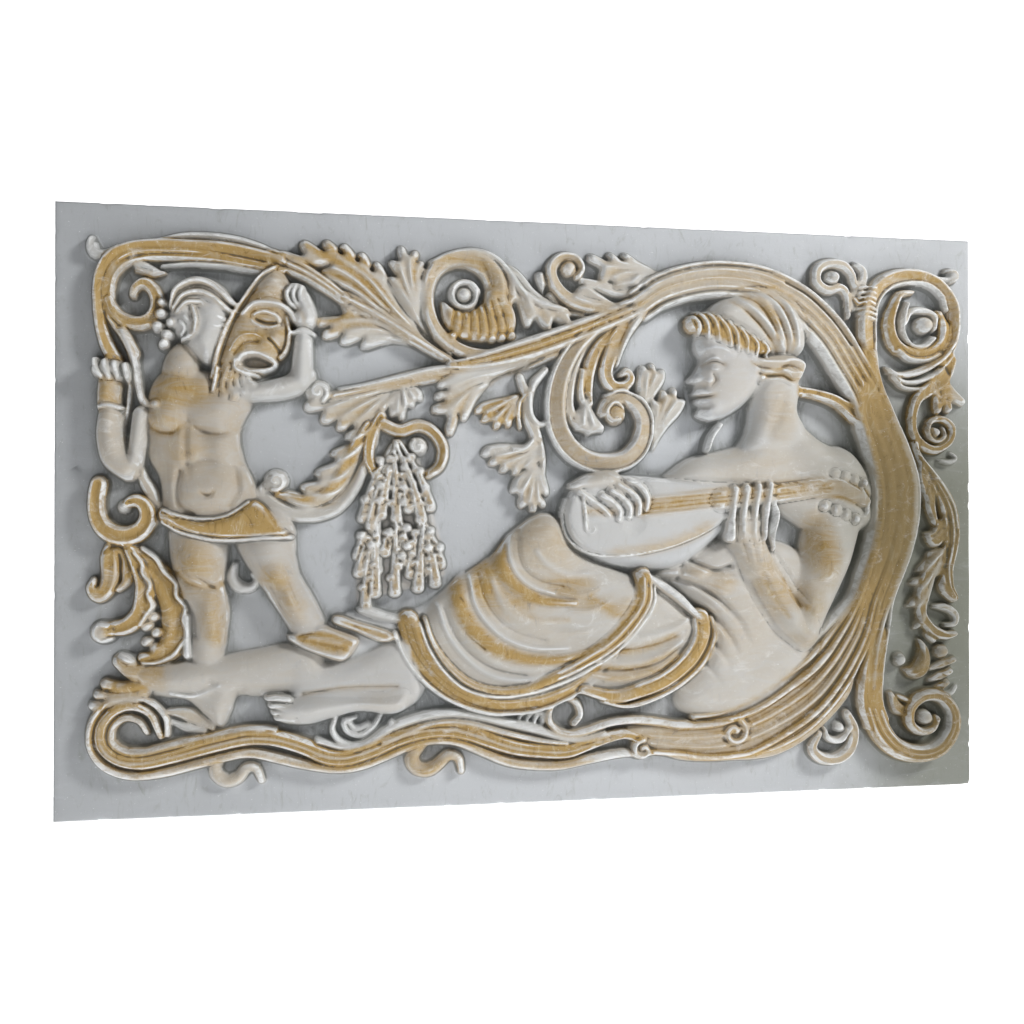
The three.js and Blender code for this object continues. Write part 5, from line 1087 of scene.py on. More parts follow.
def playerHead():
    # Profile to the left on plain proportions: chin to hairline in thirds, the eye under the head's middle
    chin, crown, tip = 505.0, 680.0, 812.0     # tip: the u of brow and lips
    third = (crown - chin) * 0.75 / 3
    nose, brow, hair = chin + third, chin + 2 * third, chin + 3 * third
    mouth = chin + third * 0.66
    plate([[tip + 4, hair - 6], [tip + 1, brow + 18], [tip + 2, brow + 3], [tip + 8, brow - 9],
        [tip + 1, nose + 18], [tip - 7, nose + 7], [tip + 1, nose + 1], [tip + 1, nose - 5],
        [tip - 1, mouth + 3], [tip + 4, mouth], [tip + 1, mouth - 6], [tip + 7, mouth - 13],
        [tip + 4, chin + 9], [tip + 8, chin + 1], [tip + 24, chin - 4], [tip + 46, chin + 2],
        [tip + 76, chin + 22], [tip + 98, chin + 60], [tip + 92, brow + 10], [tip + 70, hair - 6],
        [tip + 40, hair + 4]], 39, 20, gold=0.1, pale=0.35)
    swell(tip + 44, nose + 4, 42, 36, 5, gold=0.15)
    swell(tip + 24, brow - 13, 24, 15, -8, turn=-8)
    crease([[tip + 8, brow + 1], [tip + 22, brow + 6], [tip + 38, brow + 3],
        [tip + 52, brow - 6]], 10, [1, 5, 5, 0])
    swell(tip + 25, brow - 15, 15, 11, 8)
    crease([[tip + 11, brow - 15], [tip + 24, brow - 7], [tip + 42, brow - 16]], 6, [1, 6, 1])
    crease([[tip + 13, brow - 20], [tip + 25, brow - 24], [tip + 39, brow - 18]], 5.5, [0, 4.5, 0])
    crease([[tip + 12, brow - 17], [tip + 24, brow - 12.5], [tip + 39, brow - 17]], 4.5,
        [-2, -6, -1], gold=0.5)
    crease([[tip + 6, brow - 2], [tip + 4, nose + 20], [tip + 2, nose + 8]], 18, [0, 4, 6])
    swell(tip + 14, nose + 5, 13, 10, 5)
    crease([[tip + 22, nose + 14], [tip + 25, nose + 6], [tip + 19, nose - 1]], 6.5, -5, gold=0.4)
    crease([[tip + 4, nose], [tip + 17, nose]], 6, [0, -6, 0], gold=0.3)
    swell(tip + 12, mouth + 5, 17, 7, 4, turn=-8)
    swell(tip + 13, mouth - 7, 15, 8, 4.5, turn=6)
    crease([[tip + 3, mouth], [tip + 14, mouth - 0.5], [tip + 27, mouth + 2]], 5.5, [-4, -8, -1],
        gold=0.5)
    crease([[tip + 9, mouth - 15], [tip + 21, mouth - 15]], 9, [0, -3, 0])
    swell(tip + 20, chin + 9, 22, 16, 4)
    crease([[tip + 50, chin + 2], [tip + 72, chin + 24], [tip + 84, chin + 50]], 10, -3)


def playerHairAndCap():
    # Folded cap, rolled hair at the nape and a twisted band round the brow
    plate([[826, 640], [836, 656], [852, 668], [884, 681], [922, 680], [952, 664], [968, 636], [971, 602],
        [950, 588], [900, 588], [862, 608]], 38, 26, gold=0.08, pale=0.9)
    ridges = (
        [[870, 668], [894, 651], [912, 634], [928, 613], [942, 594]],
        [[884, 676], [908, 664], [926, 640], [936, 612]],
        [[903, 678], [924, 660], [942, 632], [951, 602]],
        [[922, 679], [942, 661], [954, 634], [958, 604]],
    )
    for line in ridges:
        line = np.array(line, float)
        crease(line, [4, 9, 9, 6], [2, 5, 5, 3], at=36)
        crease(line + [-7, -5], [4, 9, 9, 6], [-2, -5, -5, -3], gold=0.6, at=36)
    paint([[886, 668], [908, 655], [928, 632]], 12, 0.6, at=36)
    plate([[880, 592], [900, 590], [935, 594], [960, 590], [970, 579], [966, 566], [958, 554], [944, 549],
        [932, 555], [914, 558], [903, 551], [895, 560], [892, 571], [884, 576]], 38, 10, gold=0.25,
        pale=0.9)
    roll = (
        ([[886, 592], [904, 584], [930, 582], [950, 586], [968, 580]], 3.5),
        ([[888, 582], [902, 575], [926, 572], [944, 578], [966, 570]], -5),
        ([[892, 576], [908, 570], [930, 573], [948, 568], [964, 570]], 4),
        ([[898, 568], [914, 564], [934, 565], [948, 558], [962, 561]], -5),
        ([[900, 562], [918, 560], [936, 560], [950, 553]], 3.5),
    )
    for line, top in roll:
        crease(line, [4, 7, 8, 7, 4], [top * 0.4, top, top, top, top * 0.4],
            gold=0.6 if top < 0 else None, at=36)
    line = lineThrough([[817, 634], [836, 632], [852, 624], [870, 616], [888, 608], [906, 602],
        [924, 598]], 2.0)
    strand(line[::6], [26, 34, 34, 32, 28, 22, 10], [36, 42, 42, 42, 42, 41, 37], "flat", gold=0.95)
    twists = (
        ((812, 643), (822, 619), 7), ((821, 649), (834, 614), 9), ((833, 649), (848, 611), 9),
        ((848, 643), (865, 604), 9), ((863, 636), (875, 598), 9), ((879, 628), (888, 595), 8),
        ((895, 618), (902, 591), 7), ((910, 612), (917, 590), 6),
    )
    for a, b, wide in twists:
        a, b = np.array(a, float), np.array(b, float)
        strand([a, (a + b) / 2 + [3, 2], b], [wide * 0.8, wide, wide * 0.6], [41, 45, 42], gold=0.12,
            cut=5)


def lute():
    # Bowl, soundboard with a thin rim, bridge, neck with its strings, and the bent peg box
    plate([[640, 344], [668, 322], [702, 309], [750, 303], [792, 309], [822, 328], [858, 366], [800, 380],
        [700, 360]], 27, 18, pale=0.35)
    plate([[633, 378], [640, 402], [656, 422], [700, 430], [770, 426], [830, 420], [890, 418], [900, 396],
        [878, 384], [852, 368], [818, 349], [778, 334], [736, 325], [692, 322], [658, 331], [640, 350]],
        34, 7, gold=0.03, pale=0.5, cut=5)
    swell(740, 372, 110, 44, 2)
    strand([[640, 398], [634, 376], [640, 350], [658, 331], [692, 322], [736, 325], [778, 334],
        [818, 349], [852, 368]], 3.5, 35.5, soft=1, cut=0)
    crease([[645, 398], [639, 376], [645, 353], [661, 336], [693, 327], [736, 330], [777, 339],
        [815, 353]], 3, -1.5)
    paint([[740, 330], [790, 342], [830, 360]], 18, 0.4, at=35)
    paint([[700, 328], [740, 332]], 12, 0.3, at=35)
    # sound hole: a sunk oval with a raised rim
    pit(728, 365, 17, 3, at=34)
    strand([[708, 364], [714, 357], [730, 352], [744, 358], [748, 372]], 2.5, 36, soft=1, cut=0)
    # bridge with its small hook
    strand([[661, 400], [663, 380], [665, 357]], 5, 39, "flat", cut=3, gold=0.1)
    strand([[665, 357], [671, 352], [677, 357], [675, 363]], 4, 38, cut=2)
    # neck and peg box
    strand([[850, 396], [930, 405], [1000, 415]], [33, 27, 23], 37, "flat", cut=5)
    strand([[996, 415], [1028, 408], [1056, 395]], [23, 21, 20], 38, "flat", cut=5, gold=0.05)
    paint([[740, 386], [850, 400], [930, 408], [1000, 414], [1052, 400]], 24, 1.0, 1.3, at=38)
    paint([[666, 382], [700, 380]], 12, 0.8, at=37)
    for k in range(5):
        f = k / 4.0
        lean = [[664, 371 + 19 * f], [760, 377 + 23 * f], [860, 388 + 21 * f], [935, 397 + 21 * f],
            [1003, 406 + 19 * f], [1028, 400 + 17 * f], [1052, 390 + 15 * f]]
        crease(lean, [3.6, 4.8, 4.8], [2.4, 4.2, 4.2], gold=0.0, at=38)
    for k in range(4):
        mound(1012 + 15 * k, 433 - 4 * k, 8, 7.5, 44, gold=0.25, cut=6)
        pit(1012 + 15 * k, 433 - 4 * k, 3.5, 3, at=42)
        mound(1000 + 15 * k, 389 - 6 * k, 8.5, 8, 46, gold=0.15, cut=7)
        pit(1000 + 15 * k, 389 - 6 * k, 4, 4, at=44)
    strand([[1050, 412], [1057, 398], [1060, 380]], [8, 12, 8], 40)
    strand([[852, 498], [840, 482], [834, 464]], [8, 9, 8], 35, "channel")


def hands():
    # On the soundboard: the back of the hand and four fingers curled over the strings
    strand([[650, 414], [676, 420], [700, 421], [716, 412]], [12, 26, 34, 28], 41, cut=5, soft=4,
        gold=0.15, pale=0.9)
    fingers = (
        [[722, 422], [738, 415], [748, 400], [747, 385]],
        [[712, 415], [727, 406], [737, 393], [737, 379]],
        [[700, 408], [714, 399], [724, 387], [724, 374]],
        [[688, 401], [700, 394], [710, 383], [710, 371]],
    )
    for k, line in enumerate(fingers):
        strand(line, [15, 15, 13, 9], 43.5 - k * 0.3, cut=5, gold=0.1, pale=0.9)
        crease([[line[1][0] - 3, line[1][1] - 6], [line[1][0] + 4, line[1][1] + 6]], 4, -1.5)
    strand([[656, 408], [672, 396], [686, 386], [696, 376]], [10, 12, 11, 8], 40, cut=5, gold=0.1,
        pale=0.9)
    for k in range(3):
        crease([[688 + k * 11, 430 - k * 4], [706 + k * 10, 418 - k * 6]], 5, -2, gold=0.3)
    # On the neck: the palm, and four long fingers side by side over the strings
    strand([[900, 306], [893, 330], [888, 352], [890, 366]], [46, 58, 62, 60], 42, soft=5, gold=0.2,
        pale=0.85)
    for k in range(4):
        strand([[866 + k * 15, 346], [866 + k * 15.5, 370], [868 + k * 16, 392],
            [871 + k * 16.5, 412 + k * 2]], [15, 17, 16.5, 13], 44.5, gold=0.1, pale=0.95, cut=3.5)
        crease([[861 + k * 15.5, 370], [872 + k * 15.5, 371]], 5, -2)
        crease([[863 + k * 16, 392], [873 + k * 16, 393]], 4, -1.5)
    for k in range(3):
        crease([[874 + k * 14, 352], [877 + k * 13, 334], [884 + k * 10, 314]], 6, -2.5, gold=0.35)
    strand([[922, 398], [930, 378], [924, 350], [926, 330]], [9, 12, 12, 6], 40)


# Carved from the back to the front
for carve in (upperRightRing, rightOrnaments, trunkAndBranches, middleFoliage, topMiddle, centreScroll,
        topLeftVine, hangingLeaf, flowerCluster, leftScroll, playerBody, roots, lowerRightScroll,
        childLegs, childBody, childHead, maskFace, maskHand, loincloth, frontLeg, drapery, playerHead,
        playerHairAndCap, lute, hands):
    carve()
print("carved:", field.shape, "highest", round(float(field.max()), 1))

# Finish of the cast, in millimetres
cast = {
    "slab": 32.0,         # thickness behind the ground
    "soften": 1.0,        # radius of the rubbed edges
    "waver": 0.5,         # unevenness of hand-cut forms
    "groundWaver": 0.7,   # unevenness of the ground
    "formPatches": ((0.6, 26), (0.4, 9)),                   # share and size of each layer
    "groundPatches": ((0.55, 70), (0.3, 18), (0.15, 6)),
    "backPatches": ((0.5, 60), (0.5, 12)),
    "edgeRound": 2.2,     # worn edge of the slab
    "chip": 2.6,          # deepest edge chip
    "wallRows": 7,
    "knocks": 259,        # dents round the slab's edge
    "backRatio": 5,       # front steps to one step of the back
    "backRough": 1.2,
    "triangles": 186000,
    "cavityRadius": 2.5, "cavityDepth": 5.0,       # narrow grooves and ridges, for wash and painted shade in the grooves and chalk on the ridges
    "hollowRadius": 12.0, "hollowDepth": 14.0,     # broad hollows, for painted shade
}
chance = np.random.default_rng(sheet["seed"])


def blurred(grid, radius):
    # Three running means in each direction, close to a bell curve of that radius
    half = max(1, int(round(radius / sheet["step"])))
    for axis in (0, 1):
        for turn in range(3):
            wide = np.concatenate([np.repeat(np.take(grid, [0], axis), half + 1, axis), grid,
                                   np.repeat(np.take(grid, [-1], axis), half, axis)], axis)
            total = np.cumsum(wide, axis)
            n = grid.shape[axis]
            grid = (np.take(total, np.arange(2 * half + 1, 2 * half + 1 + n), axis)
                    - np.take(total, np.arange(0, n), axis)) / (2 * half + 1)
    return grid


def cloud(size, shape):
    # Random values on a coarse grid, drawn out smoothly over the sheet: about -1 to 1
    n = max(2, int(shape[0] * sheet["step"] / size) + 3), max(2, int(shape[1] * sheet["step"] / size) + 3)
    coarse = chance.uniform(-1, 1, n)
    a = np.linspace(0, n[0] - 2.001, shape[0])
    b = np.linspace(0, n[1] - 2.001, shape[1])
    i, j = a.astype(int), b.astype(int)
    fa, fb = ramp(0, 1, a - i)[:, None], ramp(0, 1, b - j)[None, :]
    return ((coarse[np.ix_(i, j)] * (1 - fb) + coarse[np.ix_(i, j + 1)] * fb) * (1 - fa)
            + (coarse[np.ix_(i + 1, j)] * (1 - fb) + coarse[np.ix_(i + 1, j + 1)] * fb) * fa)


def layered(patches, shape):
    # The sum of share * cloud(size)
    return sum(share * cloud(size, shape) for share, size in patches)


def finishCast():
    # Rubbed edges, tool marks in the ground, small pits and a worn border
    soft = blurred(field, cast["soften"])
    standing = ramp(0.5, 5, soft)
    uneven = layered(cast["formPatches"], field.shape)
    ground = layered(cast["groundPatches"], field.shape)
    surface = soft + uneven * cast["waver"] * standing + ground * cast["groundWaver"] * (1 - standing)
    u, v = np.meshgrid(uAxis, vAxis)
    rim = np.minimum(np.minimum(u, sheet["width"] - u), np.minimum(v, sheet["height"] - v))
    worn = cast["edgeRound"] * np.clip(1 - rim / cast["edgeRound"], 0, 1) ** 2
    chips = np.clip(cloud(14, field.shape) * cloud(31, field.shape) * 3 - 0.75, 0, 1)
    surface -= worn + chips * cast["chip"] * np.clip(1 - rim / 5, 0, 1)
    return surface


surface = finishCast()
cavityMap = np.clip((blurred(field, cast["cavityRadius"]) - field) / cast["cavityDepth"], -1, 1)
hollowMap = np.clip((blurred(field, cast["hollowRadius"]) - field) / cast["hollowDepth"], 0, 1)
print("cast finished")


def gridFaces(number, flipped=False):
    # One quad for each cell of a grid of point numbers
    corners = (number[:-1, :-1], number[:-1, 1:], number[1:, 1:], number[1:, :-1])
    order = (0, 3, 2, 1) if flipped else (0, 1, 2, 3)
    return np.column_stack([corners[k].ravel() for k in order])


def gridBorder(number):
    # The point numbers round a grid's edge, once each
    return np.concatenate([number[0, :-1], number[:-1, -1], number[-1, :0:-1], number[:0:-1, 0]])


def panelMesh():
    # Front grid, rows of wall points round its border, and a coarser grid for the back
    x = (uAxis - sheet["width"] / 2) * millimetre
    z = (vAxis - sheet["height"] / 2) * millimetre
    gx, gz = np.meshgrid(x, z)
    front = np.column_stack([gx.ravel(), (-(cast["slab"] + surface) * millimetre).ravel(), gz.ravel()])
    number = np.arange(rows * cols).reshape(rows, cols)
    quads = [gridFaces(number)]
    border = gridBorder(number)
    inward = np.sign(np.column_stack([-front[border, 0], 0 * border, -front[border, 2]]))
    for axis, limit in ((0, abs(x[0])), (2, abs(z[0]))):
        inward[:, axis] *= np.isclose(np.abs(front[border, axis]), limit)
    points = [front]
    base = rows * cols
    previous = border
    count = len(border)
    knocks = chance.uniform(0, 1, cast["knocks"])
    places = np.linspace(0, count, cast["knocks"] + 1)
    wobble = np.interp(np.arange(count), places, np.append(knocks, knocks[0]))
    for k in range(1, cast["wallRows"]):
        share = (k / cast["wallRows"]) ** 1.3
        ring = front[border].copy()
        ring[:, 1] = front[border, 1] * (1 - share)
        bulge = np.clip(1 - share * cast["slab"] / cast["edgeRound"], 0, 1)
        bulge = bulge + np.clip((share - 0.93) / 0.07, 0, 1) + 0.25 * wobble
        ring += inward * (bulge * 0.8 * millimetre)[:, None]
        now = base + np.arange(count)
        quads.append(np.column_stack([previous, now, np.roll(now, -1), np.roll(previous, -1)]))
        points.append(ring)
        previous = now
        base += count
    ratio = cast["backRatio"]
    bx, bz = np.meshgrid(x[::ratio], z[::ratio])
    rough = layered(cast["backPatches"], bx.shape)
    backRows, backCols = bx.shape
    rim = np.minimum(np.minimum(bx - x[0], x[-1] - bx), np.minimum(bz - z[0], z[-1] - bz)) / millimetre
    sunk = (np.abs(rough) * cast["backRough"] * ramp(0, 20, rim)) * millimetre
    points.append(np.column_stack([bx.ravel(), -sunk.ravel(), bz.ravel()]))
    number = base + np.arange(backRows * backCols).reshape(backRows, backCols)
    quads.append(gridFaces(number, flipped=True))
    back = gridBorder(number)
    corners = np.arange(count)
    nearest = back[corners // ratio]
    following = np.roll(back, -1)[corners // ratio]
    beside = np.roll(previous, -1)
    last = corners % ratio == ratio - 1
    fans = [np.column_stack([previous, nearest, beside]),
            np.column_stack([nearest[last], following[last], beside[last]])]
    points = np.vstack(points)
    quads = np.vstack(quads)
    tris = np.vstack(fans)
    mesh = bpy.data.meshes.new("relief")
    mesh.vertices.add(len(points))
    mesh.vertices.foreach_set("co", points.astype(np.float32).ravel())
    mesh.loops.add(quads.size + tris.size)
    mesh.loops.foreach_set("vertex_index", np.concatenate([quads.ravel(), tris.ravel()]).astype(np.int32))
    starts = np.concatenate([np.arange(len(quads)) * 4, quads.size + np.arange(len(tris)) * 3])
    mesh.polygons.add(len(starts))
    mesh.polygons.foreach_set("loop_start", starts.astype(np.int32))
    mesh.update(calc_edges=True)
    mesh.validate()
    return mesh


def thinned(source, triangles):
    # Collapse to the triangle count, keeping them where the surface turns
    full = bpy.data.objects.new("full", source)
    bpy.context.collection.objects.link(full)
    cut = full.modifiers.new("thin", "DECIMATE")
    cut.ratio = triangles / (2 * len(source.polygons))
    made = bpy.data.meshes.new_from_object(full.evaluated_get(bpy.context.evaluated_depsgraph_get()))
    bpy.data.objects.remove(full)
    return made


def sampled(grid, u, v):
    # Value of a map at places on the sheet, straight between its four nearest grid points
    a = np.clip(u / sheet["width"] * (cols - 1), 0, cols - 1.001)
    b = np.clip(v / sheet["height"] * (rows - 1), 0, rows - 1.001)
    i, j = a.astype(int), b.astype(int)
    fa, fb = a - i, b - j
    return ((grid[j, i] * (1 - fa) + grid[j, i + 1] * fa) * (1 - fb)
            + (grid[j + 1, i] * (1 - fa) + grid[j + 1, i + 1] * fa) * fb)


def addMaps(mesh):
    # Paint and hollows as values on the points; none on walls and back
    co = np.empty(len(mesh.vertices) * 3, np.float32)
    mesh.vertices.foreach_get("co", co)
    co = co.reshape(-1, 3) / millimetre
    u, v = co[:, 0] + sheet["width"] / 2, co[:, 2] + sheet["height"] / 2
    front = co[:, 1] < -cast["slab"] * 0.7
    maps = {"ochre": blurred(goldMap, sheet["step"]), "pale": blurred(paleMap, sheet["step"]),
            "cavity": cavityMap, "hollow": hollowMap}
    for name, grid in maps.items():
        layer = mesh.attributes.new(name, "FLOAT", "POINT")
        layer.data.foreach_set("value", np.where(front, sampled(grid, u, v), 0).astype(np.float32))


reliefMesh = thinned(panelMesh(), cast["triangles"])
reliefMesh.name = "relief"
addMaps(reliefMesh)
reliefMesh.shade_smooth()
relief = bpy.data.objects.new("relief", reliefMesh)
bpy.context.collection.objects.link(relief)
print("relief mesh:", len(reliefMesh.polygons), "faces")

# Paint, as linear colours, with painted shade and painted light among them, and the width of its brush
# marks in metres
finish = {
    "ground": (0.47, 0.49, 0.51),
    # the next two colours: a pale tone for brush marks and painted light on the ground, and a dark tone for
    # streaks and painted shade on the ground
    "groundPaleAndLit": (0.59, 0.615, 0.645),
    "groundDark": (0.20, 0.215, 0.16),
    "white": (0.61, 0.61, 0.59),
    "chalk": (0.90, 0.92, 0.93),
    "ochre": (0.46, 0.31, 0.115),
    "ochreDeep": (0.14, 0.077, 0.02),
    "cream": (0.64, 0.54, 0.35),
    # the next two colours are painted shade: dark for hollows and grooves, and for the right side
    "recessShade": (0.10, 0.105, 0.09),
    "paintedShade": (0.085, 0.085, 0.045),
    "roughness": 0.6,
    "specular": 0.35,
    "bump": 0.5,
    "bumpDepth": 0.0012,
    "brush": 0.03,
}


def plasterMaterial():
    # Grey paint, off-white on the relief, ochre wash that stays in the grooves, chalk rubbed on the ridges;
    # painted shade in the hollows, in the grooves and towards the right side, and painted light across the
    # middle of the ground
    material = bpy.data.materials.new("painted plaster")
    material.use_nodes = True
    nodes, links = material.node_tree.nodes, material.node_tree.links
    nodes.clear()
    place = nodes.new("ShaderNodeTexCoord").outputs["Object"]

    def noise(scale, detail=4.0, rough=0.55, stretch=(1, 1, 1), turn=0.0, shift=0.0, warp=0.0):
        mapping = nodes.new("ShaderNodeMapping")
        mapping.inputs["Scale"].default_value = stretch
        mapping.inputs["Rotation"].default_value = (0, turn, 0)
        mapping.inputs["Location"].default_value = (shift, shift, shift)
        links.new(place, mapping.inputs["Vector"])
        tex = nodes.new("ShaderNodeTexNoise")
        tex.inputs["Scale"].default_value = scale
        tex.inputs["Detail"].default_value = detail
        tex.inputs["Roughness"].default_value = rough
        tex.inputs["Distortion"].default_value = warp
        links.new(mapping.outputs[0], tex.inputs["Vector"])
        return tex.outputs["Fac"]

    def math(operation, a, b=0.0, clamp=False):
        node = nodes.new("ShaderNodeMath")
        node.operation = operation
        node.use_clamp = clamp
        for socket, given in zip(node.inputs, (a, b)):
            if isinstance(given, (int, float)):
                socket.default_value = given
            else:
                links.new(given, socket)
        return node.outputs[0]

    def span(source, low, high, toLow=0.0, toHigh=1.0):
        node = nodes.new("ShaderNodeMapRange")
        node.interpolation_type = "SMOOTHSTEP"
        for name, given in (("From Min", low), ("From Max", high), ("To Min", toLow), ("To Max", toHigh)):
            node.inputs[name].default_value = given
        links.new(source, node.inputs["Value"])
        return node.outputs["Result"]

    def mix(factor, a, b):
        node = nodes.new("ShaderNodeMix")
        node.data_type = "RGBA"
        for socket, given in ((node.inputs["Factor"], factor), (node.inputs["A"], a), (node.inputs["B"],
                b)):
            if isinstance(given, tuple):
                socket.default_value = (*given, 1)
            elif isinstance(given, float):
                socket.default_value = given
            else:
                links.new(given, socket)
        return node.outputs["Result"]

    def layer(name):
        node = nodes.new("ShaderNodeAttribute")
        node.attribute_name = name
        return node.outputs["Fac"]

    ochre, pale, cavity, hollow = (layer(n) for n in ("ochre", "pale", "cavity", "hollow"))
    patch = noise(3.2, 5, 0.6)
    brush = noise(1 / finish["brush"], 5, 0.7, stretch=(0.5, 1, 1.7), turn=0.35, warp=1.6)
    streak = noise(48, 5, 0.7, stretch=(1.2, 1, 0.45), turn=-0.5, shift=3, warp=2.2)
    drag = noise(30, 6, 0.75, stretch=(0.8, 1, 1.3), turn=0.6, shift=5, warp=1.2)
    fine = noise(260, 3, 0.6, shift=7)
    speck = noise(420, 2, 0.5, shift=11)

    across = nodes.new("ShaderNodeSeparateXYZ")
    links.new(place, across.inputs[0])
    side = math("ADD", across.outputs["X"], math("MULTIPLY", math("SUBTRACT", patch, 0.5), 0.4))
    corner = math("SUBTRACT", side, math("MULTIPLY", across.outputs["Z"], 0.3))
    # painted shade: this mask darkens the colour towards the right side, fading out in the upper part and a
    # little weaker at the very bottom
    shade = math("MULTIPLY", span(side, 0.3, 0.56), span(across.outputs["Z"], 0.3, 0.02))
    shade = math("MULTIPLY", shade, span(across.outputs["Z"], -0.38, -0.15, 0.75, 1.0))
    # painted light: the ground is lighter across the middle of the panel, fading out towards the left edge
    # and towards the right
    lit = math("MULTIPLY", span(side, -0.68, -0.1), span(corner, 0.66, 0.2), clamp=True)
    # painted shade: the ground turns dark olive grey towards the right
    ground = mix(math("MULTIPLY", shade, 0.65), finish["ground"], finish["groundDark"])
    ground = mix(lit, ground, finish["groundPaleAndLit"])
    ground = mix(span(brush, 0.5, 0.85, 0.0, 0.5), ground, finish["groundPaleAndLit"])
    ground = mix(span(streak, 0.52, 0.8, 0.0, 0.35), ground, finish["groundDark"])
    paleMask = math("MULTIPLY", pale, span(brush, 0.2, 0.55, 0.55, 1.0), clamp=True)
    colour = mix(paleMask, ground, finish["white"])
    ridge = span(math("MULTIPLY", cavity, -1.0), 0.2, 0.7)
    groove = span(cavity, 0.05, 0.5)
    wash = math("ADD", math("MULTIPLY", ochre, span(brush, 0.3, 0.7, 0.95, 1.6)),
                math("MULTIPLY", math("MULTIPLY", ochre, groove), 0.5))
    wash = math("MULTIPLY", wash, span(corner, 0.1, 0.45, 1.0, 1.35))
    wash = math("SUBTRACT", wash, math("MULTIPLY", ridge, span(fine, 0.35, 0.65, 0.1, 0.5)), clamp=True)
    tint = mix(span(streak, 0.5, 0.8), finish["ochre"], finish["cream"])
    tint = mix(span(streak, 0.44, 0.26, 0.0, 0.75), tint, finish["ochreDeep"])
    # ochre wash that gathers in the grooves, taken deeper there as painted shade
    tint = mix(math("MULTIPLY", groove, 0.7), tint, finish["ochreDeep"])
    # painted shade: the ochre goes deeper towards the right side
    tint = mix(math("MULTIPLY", shade, 0.5), tint, finish["ochreDeep"])
    colour = mix(wash, colour, tint)
    # painted shade: dark in broad hollows beside tall forms and in narrow grooves, where shadow falls
    recessShadeMask = math("MULTIPLY", span(hollow, 0.3, 0.95), span(streak, 0.3, 0.7, 0.45, 1.0), clamp=True)
    recessShadeMask = math("MAXIMUM", recessShadeMask, span(cavity, 0.28, 0.75, 0.0, 0.9))
    colour = mix(math("MULTIPLY", recessShadeMask, 0.7), colour, finish["recessShade"])
    chalkMask = math("MULTIPLY", ridge, span(brush, 0.34, 0.6, 0.1, 0.95), clamp=True)
    dragged = math("MULTIPLY", span(drag, 0.53, 0.75, 0.0, 0.5), span(pale, 0.3, 0.9))
    chalkMask = math("MAXIMUM", chalkMask, dragged)
    colour = mix(chalkMask, colour, finish["chalk"])
    colour = mix(span(speck, 0.7, 0.76, 0.0, 0.5), colour, finish["chalk"])
    # painted shade: the whole colour darkens towards the right side
    colour = mix(math("MULTIPLY", shade, 0.5), colour, finish["paintedShade"])

    shader = nodes.new("ShaderNodeBsdfPrincipled")
    links.new(colour, shader.inputs["Base Color"])
    dull = finish["roughness"]
    links.new(span(brush, 0.3, 0.7, dull - 0.1, dull + 0.15), shader.inputs["Roughness"])
    shader.inputs["Specular IOR Level"].default_value = finish["specular"]
    bump = nodes.new("ShaderNodeBump")
    bump.inputs["Strength"].default_value = finish["bump"]
    bump.inputs["Distance"].default_value = finish["bumpDepth"]
    height = math("ADD", math("MULTIPLY", brush, 0.8), math("MULTIPLY", fine, 0.35))
    links.new(height, bump.inputs["Height"])
    links.new(bump.outputs[0], shader.inputs["Normal"])
    output = nodes.new("ShaderNodeOutputMaterial")
    links.new(shader.outputs[0], output.inputs["Surface"])
    return material


relief.data.materials.clear()
relief.data.materials.append(plasterMaterial())
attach(relief, "root")
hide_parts("relief_panel")
print("plaster painted")

# Studio, in metres: a white sweep, a soft light at the right and a dim one at the left
studio = {
    "floor": -0.62, "back": 1.6, "reach": 4.5, "bend": 0.5, "glow": 0.9, "floorGlow": 0.6,
    "key": {"at": (1.85, -1.7, 1.5), "size": 0.6, "power": 51.0, "colour": (1.0, 0.99, 0.975)},
    "fill": {"at": (-1.6, -2.6, 0.3), "size": 2.0, "power": 2.0, "colour": (0.92, 0.96, 1.0)},
    "sky": 0.1,
}


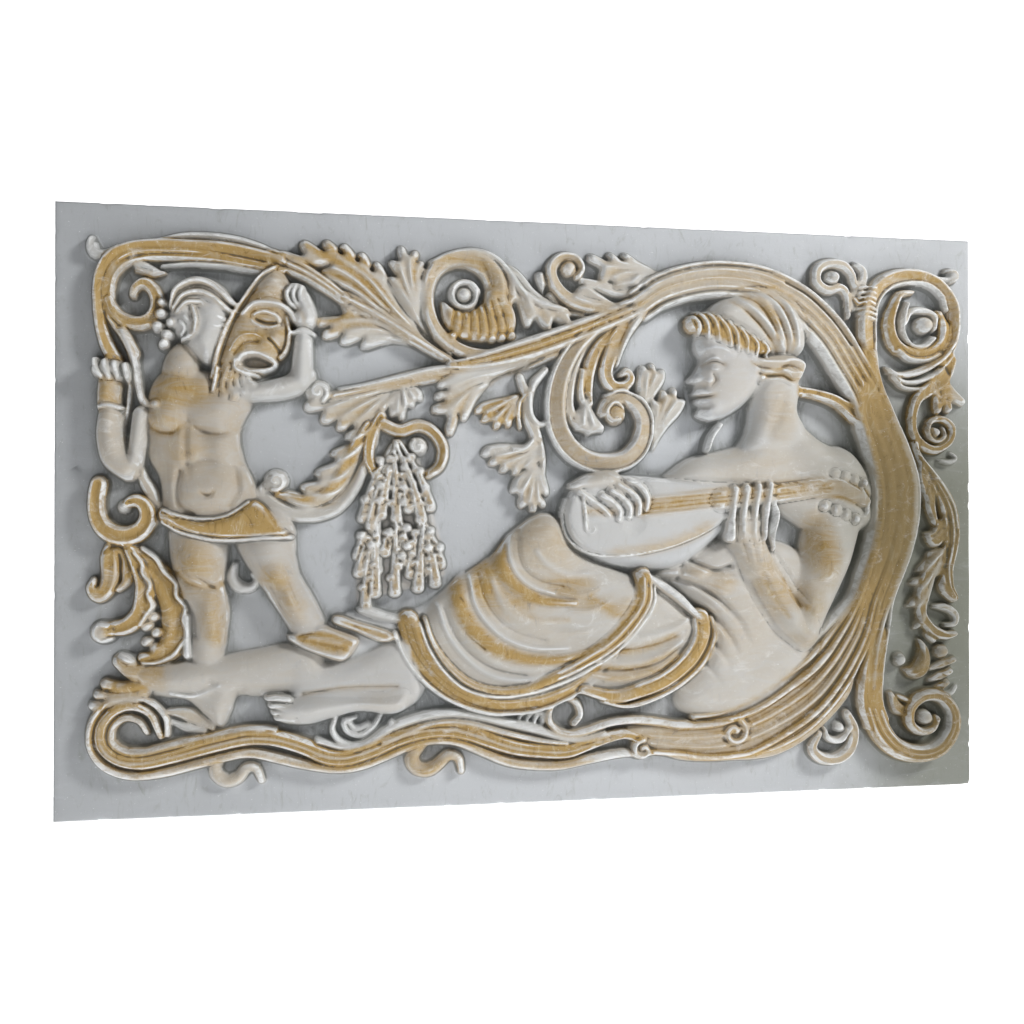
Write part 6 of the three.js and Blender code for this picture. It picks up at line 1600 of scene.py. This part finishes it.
def sweep():
    # Floor, a quarter round and a wall in one sheet
    steps = 16
    turn = np.linspace(0, np.pi / 2, steps)
    bend, back, reach = studio["bend"], studio["back"], studio["reach"]
    y = np.concatenate([[-reach], back - bend + bend * np.sin(turn), [back]])
    z = np.concatenate([[0.0], bend * (1 - np.cos(turn)), [reach]]) + studio["floor"]
    left = [(-reach, a, b) for a, b in zip(y, z)]
    right = [(reach, a, b) for a, b in zip(y, z)]
    n = len(left)
    faces = [(k, n + k, n + k + 1, k + 1) for k in range(n - 1)]
    mesh = bpy.data.meshes.new("sweep")
    mesh.from_pydata(left + right, [], faces)
    mesh.shade_smooth()
    backdrop = bpy.data.objects.new("sweep", mesh)
    bpy.context.collection.objects.link(backdrop)
    for name, glow in (("white floor", studio["floorGlow"]), ("white wall", studio["glow"])):
        material = bpy.data.materials.new(name)
        material.use_nodes = True
        shader = material.node_tree.nodes["Principled BSDF"]
        shader.inputs["Base Color"].default_value = (0.9, 0.9, 0.9, 1)
        shader.inputs["Roughness"].default_value = 0.9
        shader.inputs["Emission Color"].default_value = (1, 1, 1, 1)
        shader.inputs["Emission Strength"].default_value = glow
        mesh.materials.append(material)
    for k, face in enumerate(mesh.polygons):
        face.material_index = int(k > 0)


def softLight(name, at, size, power, colour):
    # A square area light that faces the panel's middle
    lamp = bpy.data.lights.new(name, "AREA")
    lamp.size = size
    lamp.energy = power
    lamp.color = colour
    obj = bpy.data.objects.new(name, lamp)
    obj.location = at
    obj.rotation_mode = "QUATERNION"
    obj.rotation_quaternion = (-Vector(at)).to_track_quat("-Z", "Y")
    bpy.context.collection.objects.link(obj)


sweep()
softLight("key", **studio["key"])
softLight("fill", **studio["fill"])
world = bpy.data.worlds.new("studio")
world.use_nodes = True
world.node_tree.nodes["Background"].inputs["Color"].default_value = (1, 1, 1, 1)
world.node_tree.nodes["Background"].inputs["Strength"].default_value = studio["sky"]
bpy.context.scene.world = world
bpy.context.scene.view_settings.view_transform = "Standard"

# Camera left of the panel's middle, aimed near its centre
shot = {"at": (-0.271, -1.452, -0.0108), "aim": (-0.0408, -0.032, -0.0007),
    "roll": 0.0, "lens": 38.67, "sensor": 36.0,
        "clip": (0.05, 50.0)}


def addCamera():
    # It looks from `at` to `aim` and is turned about that line by `roll`
    lens = bpy.data.cameras.new("camera")
    lens.lens = shot["lens"]
    lens.sensor_width = shot["sensor"]
    lens.clip_start, lens.clip_end = shot["clip"]
    camera = bpy.data.objects.new("camera", lens)
    camera.location = shot["at"]
    camera.rotation_mode = "QUATERNION"
    aim = (Vector(shot["aim"]) - Vector(shot["at"])).to_track_quat("-Z", "Y")
    camera.rotation_quaternion = aim @ Quaternion((0, 0, 1), np.radians(shot["roll"]))
    bpy.context.collection.objects.link(camera)
    bpy.context.scene.camera = camera


addCamera()
print("studio and camera set")
